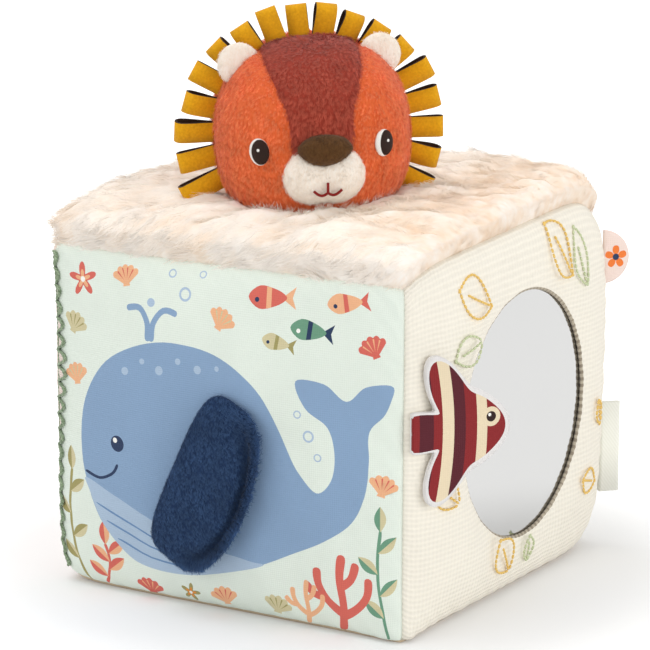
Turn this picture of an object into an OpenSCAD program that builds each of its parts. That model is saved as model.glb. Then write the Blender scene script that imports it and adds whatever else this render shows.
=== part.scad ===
// Soft activity cube with a fur top, a mirror window, a lift flap, a seam charm and a plush lion head
// Lengths are millimetres, the cube stands on z = 0 and its printed face looks along -y

/* [Cube] */
// Width and depth between the faces, before they swell
cube_w = 154; // [140:1:170]
// Height of the sewn side panels
panel_h = 135; // [128:1:150]
// Squareness of the sewn edges
edge_power = 20; // [14:1:28]
// Thickness of one panel with its interlining
panel_t = 2; // [1.6:0.1:2.4]
// Swell at the middle of the front, left and back panels
side_crown = 8; // [6:0.5:9]
// Swell at the middle of the mirror panel
window_crown = 11; // [10:0.5:12]
// How sharply a panel swells next to its seams
crown_power = 2.5; // [2.2:0.1:3]

/* [Mirror] */
// Radius of the round window
window_r = 47; // [38:0.5:48]
// Window centre behind the middle of its panel
window_back = 3.7; // [0:0.1:5]
// Window centre above the middle of its panel
window_up = 3; // [0:0.1:4]
// Width of mirror tucked behind the window edge
mirror_lap = 4; // [3:0.5:5]
// Thickness of the mirror sheet
mirror_t = 1.6; // [1.2:0.1:2]
// Thickness of the board behind the mirror
backing_t = 3; // [2:0.5:4]

/* [Fur] */
// Depth of dense pile on the top
fur_t = 12.4; // [11:0.2:13]
// Overhang of the fur past the upright seams
fur_over = 3.4; // [3:0.1:5]
// Drop of the fur hem below the top of the panels
fur_drop = 3; // [2.5:0.1:4]

/* [Flap] */
// Length of the flap along its sewn edge
flap_len = 70; // [58:1:74]
// Width of the flap from its sewn edge
flap_w = 34; // [28:1:38]
// Thickness of the flap at its middle
flap_t = 7; // [5:0.5:9]
// Lean of the sewn edge from upright in degrees
flap_lean = 26; // [15:1:32]
// Middle of the sewn edge, across from the cube middle
flap_x = -14; // [-22:1:-8]
// Middle of the sewn edge, above the floor
flap_z = 57; // [55:1:66]

/* [Seam pieces] */
// Reach of the charm from its seam
charm_w = 41; // [34:1:46]
// Height of the charm over its fins
charm_h = 54; // [44:1:58]
// Thickness of one felt layer of the charm
charm_t = 1.1; // [0.9:0.1:1.3]
// Middle of the charm above the floor
charm_z = 78; // [70:1:84]
// Angle of the resting charm from the mirror panel in degrees
charm_rest = 34; // [32:1:42]
// Height of the folded label
label_h = 36; // [26:1:40]
// Reach of the label from its seam
label_out = 8.5; // [7:0.5:14]
// Middle of the label above the floor
label_z = 39; // [34:1:46]
// Thickness of the label ribbon
label_t = 0.8; // [0.6:0.1:1]
// Radius of the half round tab
tab_r = 10.5; // [9:0.5:13]
// Thickness of the padded tab
tab_t = 3; // [2.4:0.2:3.6]
// Middle of the tab below the top of the panels
tab_below = 20; // [18:1:26]

/* [Head] */
// Radius of the head seen from the front
head_r = 38; // [34:0.5:40]
// Depth of the face half of the head
face_depth = 35; // [32:0.5:36]
// Depth of the back half of the head
nape_depth = 31; // [28:0.5:33]
// Thickness of the plush cover
plush_t = 1.5; // [1.2:0.1:1.8]
// Head centre across from the cube middle
head_x = 6; // [-6:1:8]
// Head centre behind the cube middle
head_y = -26; // [-28:1:0]
// Turn of the resting face toward the mirror side in degrees
head_yaw = 40; // [20:1:50]
// Sideways tilt of the resting head in degrees
head_roll = -3; // [-5:1:0]
// Half width of the forehead gusset at the crown
gusset_top = 20; // [16:0.5:22]
// Half width of the forehead gusset at the nose
gusset_nose = 11.5; // [9:0.5:13]
// Radius of one muzzle lobe
muzzle_r = 13; // [11.5:0.5:13.5]
// Half length of the nose
nose_r = 9; // [7.5:0.5:9.5]
// Radius of an embroidered eye
eye_r = 4.4; // [3.5:0.1:5]
// Radius of an ear
ear_r = 8.5; // [7:0.5:9.5]

/* [Mane] */
// Width of the mane ribbon
loop_w = 8.4; // [7:0.2:8.8]
// Reach of a loop beyond the head
loop_out = 14; // [11:0.5:15]
// Thickness of the mane ribbon
ribbon_t = 0.9; // [0.7:0.1:1]
// Open width inside a loop
loop_gap = 3.8; // [2.6:0.2:3.8]

/* [Trim] */
// Radius of the trim yarn
trim_r = 1.1; // [0.9:0.1:1.4]
// Side swing of the scallops
trim_wave = 2.2; // [1.5:0.1:2.6]
// Number of scallops along the seam
trim_count = 11; // [8:1:12]

/* [Fit] */
// Gap left along each sewn edge
sew_gap = 0.15; // [0.1:0.05:0.2]
// Gap between a cover and what fills it
fill_gap = 0.3; // [0.2:0.05:0.4]
// Gap between the head and its nest in the fur
nest_gap = 1.2; // [0.8:0.1:1.6]
// Gap between pieces that move past each other
swing_gap = 0.4; // [0.3:0.05:0.6]

/* [Hidden] */
round_fn = 64;
half_w = cube_w / 2;
half_h = panel_h / 2;
press_flat = 1.5;
mid_z = half_h - press_flat;
grid_n = 10;
reach = 1 - sew_gap / half_w;
core_inset = panel_t + fill_gap;

window_z = mid_z + window_up;
mirror_r = window_r + mirror_lap;
mirror_u = (mirror_r + window_back) / half_w;
mirror_v = (mirror_r + window_up) / half_h;
mirror_swell = window_crown * min(1 - pow(mirror_u, crown_power), 1 - pow(mirror_v, crown_power));
mirror_x = half_w - panel_t + mirror_swell - fill_gap;
backing_x = mirror_x - mirror_t - sew_gap;
recess_x = backing_x - backing_t - fill_gap;

fur_base = mid_z + half_h - core_inset + fill_gap;
fur_top_z = fur_base + fur_t;
hem_z = fur_base - fur_drop;
hem_w = half_w + 0.6;
fur_n = 48;

flap_edge_t = 2;
lining_t = 0.8;
flap_n = 36;

corner_r = half_w * pow(2, 0.5 - 1 / edge_power);
hinge_r = corner_r + 2.6;
charm_root = 2.2;
label_half = 1.5 * label_t;
label_seam = (corner_r + label_half + fill_gap) / sqrt(2);
tab_seam = (corner_r + tab_t / 2 + fill_gap) / sqrt(2);
charm_mid = charm_w * 0.56;

head_sink = 2.8;
head_at = [head_x, head_y, fur_base + head_sink + head_r];
neck_r = 12;
neck_base = fur_base + 0.9;
seam_half = ribbon_t + 0.3;
dome_n = 12;
muzzle_x = 6;
muzzle_z = -10.5;
muzzle_y = -26;
nose_h = 5.4;
nose_y = -36.5;
nose_z = -1;
eye_x = 22.5;
eye_z = -1.2;
eye_lift = 0.7;
ear_at = 43;
ear_half_t = 2.6;
ear_y = -6.4;
loop_count = 18;
loop_first = -116;
loop_step = -2 * loop_first / (loop_count - 1);
loop_root = 1.4;
loop_stitch = 1.6;

// Shape of the crowned cube

function ease(t) = sin(90 * t);
function along(k, n) = ease(2 * k / n - 1);
function turned(p, a) = [p[0] * cos(a) - p[1] * sin(a), p[0] * sin(a) + p[1] * cos(a), p[2]];
function power_sum(q) = pow(abs(q[0]), edge_power) + pow(abs(q[1]), edge_power) + pow(abs(q[2]), edge_power);
function soft(q) = q / pow(power_sum(q), 1 / edge_power);
function swell(u, v, crown) = crown * (1 - pow(abs(u), crown_power)) * (1 - pow(abs(v), crown_power));

// Point of a side cover in the front position, inset from the outside
function side_point(u, v, inset, crown) =
    let (s = soft([u, -1, v]))
    [
        (half_w - inset) * s[0],
        (half_w - inset) * s[1] - swell(u, v, crown),
        mid_z + (half_h - inset) * s[2]
    ];

// Point of the underside, pressed flat where it meets the floor
function base_point(u, v, inset) =
    let (s = soft([v, u, -1]))
    [
        (half_w - inset) * s[0],
        (half_w - inset) * s[1],
        max(inset, mid_z + (half_h - inset) * s[2])
    ];

function side_grid(inset, crown) = [
    for (j = [0 : grid_n]) for (i = [0 : grid_n])
        side_point(reach * along(i, grid_n), reach * along(j, grid_n), inset, crown)
];

function base_grid(inset) = [
    for (j = [0 : grid_n]) for (i = [0 : grid_n])
        base_point(reach * along(i, grid_n), reach * along(j, grid_n), inset)
];

// Faces of a sheet between an outer and an inner grid of points
function sheet_faces(n) =
    let (row = n + 1, deep = row * row)
    concat(
        [for (j = [0 : n - 1]) for (i = [0 : n - 1])
            let (a = j * row + i) each [[a, a + row, a + row + 1], [a, a + row + 1, a + 1]]],
        [for (j = [0 : n - 1]) for (i = [0 : n - 1])
            let (b = deep + j * row + i) each [[b, b + row + 1, b + row], [b, b + 1, b + row + 1]]],
        [for (i = [0 : n - 1])
            let (a = i, b = deep + i) each [[a, a + 1, b + 1], [a, b + 1, b]]],
        [for (i = [0 : n - 1])
            let (a = n * row + i, b = deep + a) each [[a + 1, a, b], [a + 1, b, b + 1]]],
        [for (j = [0 : n - 1])
            let (a = j * row, b = deep + a) each [[a + row, a, b], [a + row, b, b + row]]],
        [for (j = [0 : n - 1])
            let (a = j * row + n, b = deep + a) each [[a, a + row, b + row], [a, b + row, b]]]
    );

// Faces of a solid lofted through rings of points between two poles
function loft_faces(rings, n) =
    let (low = rings * n, high = rings * n + 1)
    concat(
        [for (k = [0 : n - 1]) [low, k, (k + 1) % n]],
        [for (j = [0 : rings - 2]) for (k = [0 : n - 1])
            let (a = j * n + k, b = j * n + (k + 1) % n) each [[a, a + n, b + n], [a, b + n, b]]],
        [for (k = [0 : n - 1]) [high, (rings - 1) * n + (k + 1) % n, (rings - 1) * n + k]]
    );

module loft(rings, low, high) {
    n = len(rings[0]);
    polyhedron(points = concat([for (r = rings) each r], [low, high]), faces = loft_faces(len(rings), n));
}

module side_cover(crown) {
    polyhedron(points = concat(side_grid(0, crown), side_grid(panel_t, crown)), faces = sheet_faces(grid_n));
}

// Cube pieces

core_n = 8;
function side_swell(side) = side == 1 ? window_crown : side_crown;

function core_ring(v) = [
    for (side = [0 : 3]) for (k = [0 : core_n - 1])
        turned(side_point(along(k, core_n), v, core_inset, side_swell(side)), 90 * side)
];

// Ring on the underside or the top of the core, drawn in by a factor
function core_cap(factor, up) = [
    for (side = [0 : 3]) for (k = [0 : core_n - 1])
        let (
            q = turned([factor * along(k, core_n), -factor, up], 90 * side),
            s = soft(q),
            z = mid_z + (half_h - core_inset) * s[2]
        )
        [(half_w - core_inset) * s[0], (half_w - core_inset) * s[1], max(core_inset, z)]
];

module foam_core() {
    top_z = mid_z + half_h - core_inset;
    rings = concat(
        [core_cap(0.8, -1), core_cap(0.94, -1)],
        [for (j = [0 : core_n]) core_ring(along(j, core_n))],
        [core_cap(0.94, 1), core_cap(0.8, 1)]
    );
    color("#efe6d2")
    difference() {
        loft(rings, [0, 0, core_inset], [0, 0, top_z]);
        translate([recess_x, window_back, window_z])
        rotate([0, 90, 0])
        cylinder(r = mirror_r + fill_gap, h = half_w, $fn = round_fn);
    }
}

module front_panel() {
    color("#e3ece0")
    side_cover(side_crown);
}

module right_panel() {
    color("#f4eee0")
    difference() {
        rotate([0, 0, 90])
        side_cover(window_crown);
        translate([0, window_back, window_z])
        rotate([0, 90, 0])
        cylinder(r = window_r, h = cube_w, $fn = round_fn);
    }
}

module back_panel() {
    color("#f1ebdc")
    rotate([0, 0, 180])
    side_cover(side_crown);
}

module left_panel() {
    color("#f0dcd2")
    rotate([0, 0, 270])
    side_cover(side_crown);
}

module base_panel() {
    color("#d8c3a5")
    polyhedron(points = concat(base_grid(0), base_grid(panel_t)), faces = sheet_faces(grid_n));
}

module mirror_backing() {
    color("#b9a98c")
    translate([backing_x - backing_t, window_back, window_z])
    rotate([0, 90, 0])
    cylinder(r = mirror_r, h = backing_t, $fn = round_fn);
}

module mirror_disc() {
    color("#d9dde0")
    translate([mirror_x - mirror_t, window_back, window_z])
    rotate([0, 90, 0])
    cylinder(r = mirror_r, h = mirror_t, $fn = round_fn);
}

// Rounded square ring of the fur
function fur_ring(a, z, power) = [
    for (k = [0 : fur_n - 1])
        let (
            c = cos(360 * k / fur_n),
            s = sin(360 * k / fur_n),
            r = a / pow(pow(abs(c), power) + pow(abs(s), power), 1 / power)
        )
        [r * c, r * s, z]
];

module fur_top() {
    rings = [
        fur_ring(half_w * 0.8, fur_base, 14),
        fur_ring(half_w + 0.4, fur_base, 14),
        fur_ring(hem_w, hem_z, 16),
        fur_ring(half_w + fur_over - 0.9, hem_z, 16),
        fur_ring(half_w + fur_over, fur_base + fur_t * 0.15, 12),
        fur_ring(half_w + fur_over - 0.5, fur_base + fur_t * 0.45, 10),
        fur_ring(half_w + fur_over - 3.5, fur_base + fur_t * 0.74, 9),
        fur_ring(half_w - 4, fur_base + fur_t * 0.91, 8),
        fur_ring(half_w * 0.7, fur_base + fur_t * 0.985, 6),
        fur_ring(half_w * 0.4, fur_top_z, 4)
    ];
    color("#f3e4d6")
    difference() {
        loft(rings, [0, 0, fur_base], [0, 0, fur_top_z]);
        translate(head_at)
        sphere(r = head_r + nest_gap, $fn = round_fn);
        translate([head_x, head_y, neck_base - fill_gap])
        cylinder(r = neck_r + fill_gap, h = fur_t, $fn = round_fn);
    }
}

// Scalloped yarn down the front left seam
module edge_trim() {
    low_z = half_h * 0.12;
    high_z = hem_z - 3;
    steps = trim_count * 8;
    sides = 6;
    out = (corner_r + trim_r + 0.5) / sqrt(2);
    rings = [
        for (j = [0 : steps])
            let (
                z = low_z + (high_z - low_z) * j / steps,
                swing = trim_wave * sin(360 * trim_count * j / steps) / sqrt(2)
            )
            [for (k = [0 : sides - 1])
                let (a = 360 * k / sides)
                [-out - swing + trim_r * cos(a), -out + swing + trim_r * sin(a), z]]
    ];
    color("#8fa382")
    loft(rings, [-out, -out, low_z], [-out, -out, high_z]);
}

// Flap

// Outline of the flap, straight along the sewn edge
function flap_outline(a) =
    let (
        c = cos(a),
        s = sin(a),
        p = c < 0 ? 6 : 2.4,
        across = sign(c) * pow(abs(c), 2 / p),
        along_edge = sign(s) * pow(abs(s), 2 / 2.5)
    )
    [across, along_edge];

// Point over the front panel at a share of the flap outline, lifted off the panel
function flap_point(a, share, lift) =
    let (
        o = flap_outline(a) * share,
        e = flap_w / 2 * (1 + o[0]),
        l = flap_len / 2 * o[1],
        x = flap_x + l * sin(flap_lean) + e * cos(flap_lean),
        z = flap_z + l * cos(flap_lean) - e * sin(flap_lean)
    )
    [x, -half_w - swell(x / half_w, (z - mid_z) / half_h, side_crown) - lift, z];

function flap_ring(share, lift) = [for (k = [0 : flap_n - 1]) flap_point(360 * k / flap_n, share, lift)];

module flap_layer(low, high_edge, high_mid) {
    shares = [0.35, 0.65, 0.88, 1];
    rings = concat(
        [for (s = shares) flap_ring(s, low)],
        [for (k = [0 : 3])
            let (s = shares[3 - k])
            flap_ring(s, high_edge + (high_mid - high_edge) * sqrt(1 - s * s))]
    );
    loft(rings, flap_point(0, 0, low), flap_point(0, 0, high_mid));
}

module flap_lining() {
    color("#33466a")
    flap_layer(swing_gap, swing_gap + lining_t, swing_gap + lining_t);
}

module flap_plush() {
    low = swing_gap + lining_t + sew_gap;
    color("#2f4468")
    flap_layer(low, low + flap_edge_t, swing_gap + flap_t);
}

// Seam pieces

function bump(a, at, wide) = let (d = abs((a - at + 540) % 360 - 180)) exp(-pow(d / wide, 2));

// Fish outline round its own middle, tail toward the seam
function fish_point(a) =
    let (
        tall = charm_h / 2 / sin(116),
        body = charm_w * 0.36,
        fins = (tall - body) * (bump(a, 116, 20) + bump(a, 244, 20)),
        tail = charm_w * 0.24 * (bump(a, 166, 11) + bump(a, 194, 11)),
        waist = charm_w * 0.06 * (bump(a, 148, 9) + bump(a, 212, 9)),
        r = body + fins + tail - waist + charm_w * 0.07 * bump(a, 0, 30)
    )
    r * [cos(a), sin(a)];

module fish_outline() {
    difference() {
        translate([charm_mid, 0])
        polygon([for (k = [0 : 71]) fish_point(5 * k)]);
        translate([charm_root - charm_w, -charm_h])
        square([charm_w, 2 * charm_h]);
    }
}

// Puts a sheet drawn as reach and height onto a seam, leaning from the mirror panel
module charm_layer(low) {
    seam = hinge_r / sqrt(2);
    translate([seam, -seam, charm_z])
    rotate([0, 0, 90 - charm_rest])
    rotate([90, 0, 0])
    translate([0, 0, low])
    linear_extrude(height = charm_t)
    fish_outline();
}

module charm_front() {
    color("#8a1f22")
    charm_layer(sew_gap / 2);
}

module charm_back() {
    color("#e3e0de")
    charm_layer(-charm_t - sew_gap / 2);
}

// Folded ribbon in plan, closed at the outer fold and rolled at the sewn root
module label_plan() {
    fold = label_out - label_half;
    difference() {
        union() {
            circle(r = label_half, $fn = 32);
            translate([0, -label_half])
            square([fold, 2 * label_half]);
            translate([fold, 0])
            circle(r = label_half, $fn = 32);
        }
        translate([2 * label_half, -label_t / 2])
        square([fold - 2 * label_half, label_t]);
        translate([fold, 0])
        circle(r = label_t / 2, $fn = 32);
    }
}

module side_label() {
    color("#f1ecdd")
    translate([label_seam, label_seam, label_z - label_h / 2])
    rotate([0, 0, 45])
    linear_extrude(height = label_h)
    label_plan();
}

// Half disc with a rolled edge along the seam
module corner_tab() {
    color("#f3ded3")
    translate([tab_seam, tab_seam, panel_h - tab_below])
    rotate([0, 0, 45])
    union() {
        rotate([90, 0, 0])
        translate([0, 0, -tab_t / 2])
        linear_extrude(height = tab_t)
        intersection() {
            circle(r = tab_r, $fn = round_fn);
            translate([0, -tab_r])
            square([tab_r, 2 * tab_r]);
        }
        translate([0, 0, -tab_r])
        cylinder(r = tab_t / 2, h = 2 * tab_r, $fn = 32);
    }
}

// Head

// Places a piece drawn about the head centre with its face along -y
module on_head() {
    translate(head_at)
    rotate([0, 0, head_yaw])
    rotate([0, head_roll, 0])
    children();
}

// Half of the head profile as radius and height, from a start height to the pole
function dome(depth, grow, start) =
    let (first = asin(start / (depth + grow)))
    [for (k = [0 : dome_n])
        let (t = first + (90 - first) * k / dome_n)
        [(head_r + grow) * cos(t), (depth + grow) * sin(t)]];

function reversed(list) = [for (k = [len(list) - 1 : -1 : 0]) list[k]];

module dome_shell(depth, inner, outer, start) {
    rotate_extrude($fn = round_fn)
    polygon(concat(dome(depth, outer, start), reversed(dome(depth, inner, start))));
}

module face_solid(grow) {
    rotate([90, 0, 0])
    rotate_extrude($fn = round_fn)
    polygon(concat([[0, 0]], dome(face_depth, grow, 0)));
}

module face_shell() {
    rotate([90, 0, 0])
    dome_shell(face_depth, -plush_t, 0, seam_half);
}

// Forehead gusset seen from the front, run through the face
module gusset(grow) {
    low = muzzle_z - 4;
    high = head_r + 4;
    rotate([90, 0, 0])
    linear_extrude(height = 2 * face_depth)
    polygon([
        [-gusset_nose * 0.8 - grow, low - grow], [gusset_nose * 0.8 + grow, low - grow],
        [gusset_nose + grow, nose_z], [gusset_nose * 1.1 + grow, head_r * 0.35],
        [gusset_top * 0.86 + grow, head_r * 0.7], [gusset_top + grow, high],
        [-gusset_top - grow, high], [-gusset_top * 0.86 - grow, head_r * 0.7],
        [-gusset_nose * 1.1 - grow, head_r * 0.35], [-gusset_nose - grow, nose_z]
    ]);
}

module face_side(side) {
    difference() {
        face_shell();
        gusset(sew_gap);
        translate([side > 0 ? -2 * head_r + sew_gap / 2 : -sew_gap / 2, -2 * head_r, -2 * head_r])
        cube([2 * head_r, 4 * head_r, 4 * head_r]);
    }
}

module face_left() {
    color("#d9653b")
    on_head()
    face_side(-1);
}

module face_right() {
    color("#d9653b")
    on_head()
    face_side(1);
}

module face_centre() {
    color("#a04a3c")
    on_head()
    intersection() {
        face_shell();
        gusset(0);
    }
}

module head_back() {
    color("#d9653b")
    on_head()
    rotate([-90, 0, 0])
    dome_shell(nape_depth, -plush_t, 0, seam_half);
}

module head_stuffing() {
    inside = -plush_t - fill_gap;
    front = dome(face_depth, inside, 0);
    back = [for (p = reversed(dome(nape_depth, inside, 0))) [p[0], -p[1]]];
    color("#f2efe8")
    on_head()
    rotate([90, 0, 0])
    rotate_extrude($fn = round_fn)
    polygon(concat([for (k = [0 : dome_n - 1]) back[k]], front));
}

module muzzle_lobes(grow) {
    for (side = [-1, 1])
        translate([side * muzzle_x, muzzle_y, muzzle_z])
        sphere(r = muzzle_r + grow, $fn = round_fn);
}

module muzzle() {
    color("#f3ead9")
    on_head()
    difference() {
        muzzle_lobes(0);
        face_solid(sew_gap);
    }
}

// Oval nose pad turned about its long axis
module nose() {
    color("#4a3a2a")
    on_head()
    difference() {
        translate([0, nose_y, nose_z])
        rotate([0, 90, 0])
        rotate_extrude($fn = round_fn)
        polygon([for (k = [0 : 16]) let (t = 180 * k / 16 - 90) [nose_h * cos(t), nose_r * sin(t)]]);
        muzzle_lobes(sew_gap);
        face_solid(sew_gap);
    }
}

module eye(side) {
    on_head()
    intersection() {
        difference() {
            face_solid(sew_gap + eye_lift);
            face_solid(sew_gap);
        }
        translate([side * eye_x, 0, eye_z])
        rotate([90, 0, 0])
        cylinder(r = eye_r, h = 2 * face_depth, $fn = 32);
    }
}

module eye_left() {
    color("#2a1c16")
    eye(-1);
}

module eye_right() {
    color("#2a1c16")
    eye(1);
}

module ear(side) {
    on_head()
    difference() {
        rotate([0, side * ear_at, 0])
        translate([0, ear_y, head_r])
        rotate([90, 0, 0])
        rotate_extrude($fn = round_fn)
        polygon([for (k = [0 : 12]) let (t = 15 * k - 90) [ear_r * cos(t), ear_half_t * sin(t)]]);
        face_solid(sew_gap);
    }
}

module ear_left() {
    color("#f3ead9")
    ear(-1);
}

module ear_right() {
    color("#f3ead9")
    ear(1);
}

module neck_patch() {
    color("#e9d8c3")
    difference() {
        translate([head_x, head_y, neck_base])
        cylinder(r = neck_r, h = fur_t * 0.5, $fn = round_fn);
        translate(head_at)
        sphere(r = head_r + swing_gap, $fn = round_fn);
    }
}

// Mane

leg_n = 5;
arc_n = 6;

// Half width of a loop along its leg, growing from the root to the belly
function leg_half(t, root, belly) = root + (belly - root) * t * t * (3 - 2 * t);

// Outline of a loop as depth and reach, from one root corner round the tip to the other
function loop_outline(start, root, belly, tip) =
    let (
        leg_end = tip - belly,
        side = [for (k = [0 : leg_n]) let (t = k / leg_n) [leg_half(t, root, belly), start + (leg_end - start) * t]],
        cap = [for (k = [1 : arc_n - 1]) let (t = 90 * k / arc_n) [belly * cos(t), leg_end + belly * sin(t)]]
    )
    concat(
        side, cap, [[0, tip]],
        [for (p = reversed(cap)) [-p[0], p[1]]],
        [for (p = reversed(side)) [-p[0], p[1]]]
    );

module mane_loop(index) {
    tip = head_r + loop_out;
    root = head_r - loop_root;
    belly = loop_gap / 2;
    color("#d19a1c")
    on_head()
    rotate([0, loop_first + loop_step * (index - 1) - head_roll, 0])
    rotate([90, 0, 90])
    translate([0, 0, -loop_w / 2])
    linear_extrude(height = loop_w)
    difference() {
        polygon(loop_outline(root, ribbon_t + 0.05, belly + ribbon_t, tip));
        polygon(loop_outline(root + loop_stitch, 0.05, belly, tip - ribbon_t));
    }
}

foam_core();
front_panel();
right_panel();
back_panel();
left_panel();
base_panel();
mirror_backing();
mirror_disc();
fur_top();
edge_trim();
flap_lining();
flap_plush();
charm_back();
charm_front();
side_label();
corner_tab();
neck_patch();
head_stuffing();
face_left();
face_right();
face_centre();
head_back();
muzzle();
nose();
eye_left();
eye_right();
ear_left();
ear_right();
mane_loop(1);  // mane_loop_01
mane_loop(2);  // mane_loop_02
mane_loop(3);  // mane_loop_03
mane_loop(4);  // mane_loop_04
mane_loop(5);  // mane_loop_05
mane_loop(6);  // mane_loop_06
mane_loop(7);  // mane_loop_07
mane_loop(8);  // mane_loop_08
mane_loop(9);  // mane_loop_09
mane_loop(10);  // mane_loop_10
mane_loop(11);  // mane_loop_11
mane_loop(12);  // mane_loop_12
mane_loop(13);  // mane_loop_13
mane_loop(14);  // mane_loop_14
mane_loop(15);  // mane_loop_15
mane_loop(16);  // mane_loop_16
mane_loop(17);  // mane_loop_17
mane_loop(18);  // mane_loop_18
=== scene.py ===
# %% [markdown]
# # A soft activity cube with a plush lion head
#
# The real toy is a foam block in a sewn cotton cover. It has a fur top, a round mirror window, a lift flap,
# a charm, a label and a tab in its seams, and a plush lion head with a mane of ribbon loops.
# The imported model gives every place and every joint, so it is loaded first and each piece is built around it.
# Lengths are written in millimetres and scaled once, when a mesh becomes a piece.

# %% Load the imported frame
import math

import bmesh
import bpy
import numpy as np
from mathutils import Matrix, Vector, noise
from mathutils.geometry import delaunay_2d_cdt


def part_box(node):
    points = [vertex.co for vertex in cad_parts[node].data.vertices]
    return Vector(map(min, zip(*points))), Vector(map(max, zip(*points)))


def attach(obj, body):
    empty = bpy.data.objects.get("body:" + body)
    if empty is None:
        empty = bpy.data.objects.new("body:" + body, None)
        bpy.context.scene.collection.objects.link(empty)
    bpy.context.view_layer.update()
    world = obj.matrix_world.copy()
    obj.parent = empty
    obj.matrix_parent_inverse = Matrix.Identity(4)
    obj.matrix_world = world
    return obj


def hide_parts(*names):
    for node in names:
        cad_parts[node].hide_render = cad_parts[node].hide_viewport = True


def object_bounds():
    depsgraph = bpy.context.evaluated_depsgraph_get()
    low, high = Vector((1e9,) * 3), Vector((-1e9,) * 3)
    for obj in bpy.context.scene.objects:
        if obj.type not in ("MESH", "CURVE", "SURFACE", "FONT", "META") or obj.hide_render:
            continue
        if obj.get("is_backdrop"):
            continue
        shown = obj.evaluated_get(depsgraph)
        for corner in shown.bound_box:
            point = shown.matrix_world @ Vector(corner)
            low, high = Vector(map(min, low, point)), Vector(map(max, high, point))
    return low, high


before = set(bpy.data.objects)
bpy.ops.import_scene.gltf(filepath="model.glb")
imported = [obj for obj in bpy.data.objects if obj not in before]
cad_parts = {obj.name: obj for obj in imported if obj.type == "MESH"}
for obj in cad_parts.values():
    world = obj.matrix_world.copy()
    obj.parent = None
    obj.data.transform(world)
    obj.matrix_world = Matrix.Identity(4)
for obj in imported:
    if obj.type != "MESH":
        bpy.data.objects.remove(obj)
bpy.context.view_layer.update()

MM = 0.001
NOISE_SEED = 5
# The vector noise that ruffles the pile takes its offsets from this seed, so every run gives the same pile
noise.seed_set(NOISE_SEED)
scene = bpy.context.scene

# %% [markdown]
# ## Camera
#
# A long lens from a little above, turned toward the mirror side, gives the photograph's calm perspective.
# The camera looks at one point in the middle of the cube, so its place follows from two angles and a
# distance.

# %% Camera
AZIMUTH, ELEVATION = math.radians(31.72), math.radians(12.85)
LOOK_AT = Vector((-4.02, 0.0, 93.02)) * MM
CAMERA_DISTANCE = 1.2
LENS, SENSOR = 174.07, 36.0

toward_camera = Vector((math.sin(AZIMUTH) * math.cos(ELEVATION),
                        -math.cos(AZIMUTH) * math.cos(ELEVATION), math.sin(ELEVATION)))
camera_data = bpy.data.cameras.new("camera")
camera_data.lens = LENS
camera_data.sensor_width = SENSOR
camera = bpy.data.objects.new("camera", camera_data)
camera.location = LOOK_AT + toward_camera * CAMERA_DISTANCE
camera.rotation_euler = (-toward_camera).to_track_quat("-Z", "Y").to_euler()
scene.collection.objects.link(camera)
scene.camera = camera
scene.view_settings.view_transform = "Standard"
print("camera at", [round(x, 3) for x in camera.location])

# %% [markdown]
# ## Colours and nodes
#
# Blender's sockets take linear light, while a colour written here is an sRGB hex value, so one function
# turns the second into the first. One more function adds a node with its settings and its links, which keeps
# each finish readable as a short list of what it is made of.

# %% Colours and nodes
def colour(code):
    """An sRGB hex colour as linear red, green, blue and alpha."""
    parts = [int(code[k:k + 2], 16) / 255 for k in (1, 3, 5)]
    return [p / 12.92 if p <= 0.04045 else ((p + 0.055) / 1.055) ** 2.4 for p in parts] + [1.0]


def add(tree, kind, inputs=None, **settings):
    """Adds a node: settings are its own fields, inputs its sockets as values or as sockets to link."""
    node = tree.nodes.new("ShaderNode" + kind)
    for field, value in settings.items():
        setattr(node, field, value)
    for key, value in (inputs or {}).items():
        if isinstance(value, bpy.types.NodeSocket):
            tree.links.new(value, node.inputs[key])
        else:
            node.inputs[key].default_value = value
    return node


print("mid grey in linear light:", round(colour("#808080")[0], 3))


# %% Finishes
def new_finish(name, sockets):
    """A new material with its shader's plain sockets set, and that shader."""
    material = bpy.data.materials.new(name)
    material.use_nodes = True
    shader = material.node_tree.nodes["Principled BSDF"]
    for key, value in sockets.items():
        shader.inputs[key].default_value = value
    return material, material.node_tree, shader


def two_tone(name, sockets, texture, dark, light, strength=0.0, depth=0.0):
    """A finish of two linear colours that a texture mixes and raises by so many millimetres.

    The texture is a kind of node with its inputs and its own fields. It reads Object coordinates.
    """
    material, tree, shader = new_finish(name, sockets)
    kind, inputs, fields = texture
    place = add(tree, "TexCoord").outputs["Object"]
    pattern = add(tree, kind, {"Vector": place, **inputs}, **fields).outputs["Fac"]
    tones = add(tree, "Mix", {0: pattern, 6: dark, 7: light}, data_type="RGBA")
    tree.links.new(tones.outputs[2], shader.inputs["Base Color"])
    if strength:
        relief = add(tree, "Bump", {"Height": pattern, "Strength": strength, "Distance": depth * MM})
        tree.links.new(relief.outputs[0], shader.inputs["Normal"])
    return material


def bands(period):
    """Wave texture scale for stripes that repeat after so many millimetres."""
    return math.tau / (20 * period * MM)


def grains(size):
    """Noise texture scale for spots of about so many millimetres."""
    return 1 / (size * MM)


print("wave scale for stripes of 1 mm:", round(bands(1.0), 1))

# %% [markdown]
# ## Floor, backdrop and light
#
# The toy stands in a white studio. A wide pale floor catches its soft shadow, and the world behind is plain
# white to the camera and to mirrors only, so the white adds no light to the toy itself.
# A large soft lamp hangs overhead, a low one at the right lights the mirror side, and a weak one at the front
# left keeps the printed side open.

# %% World
WORLD_LEVEL = 0.66

world = bpy.data.worlds.new("white_studio")
world.use_nodes = True
world.node_tree.nodes.clear()
scene.world = world


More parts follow.
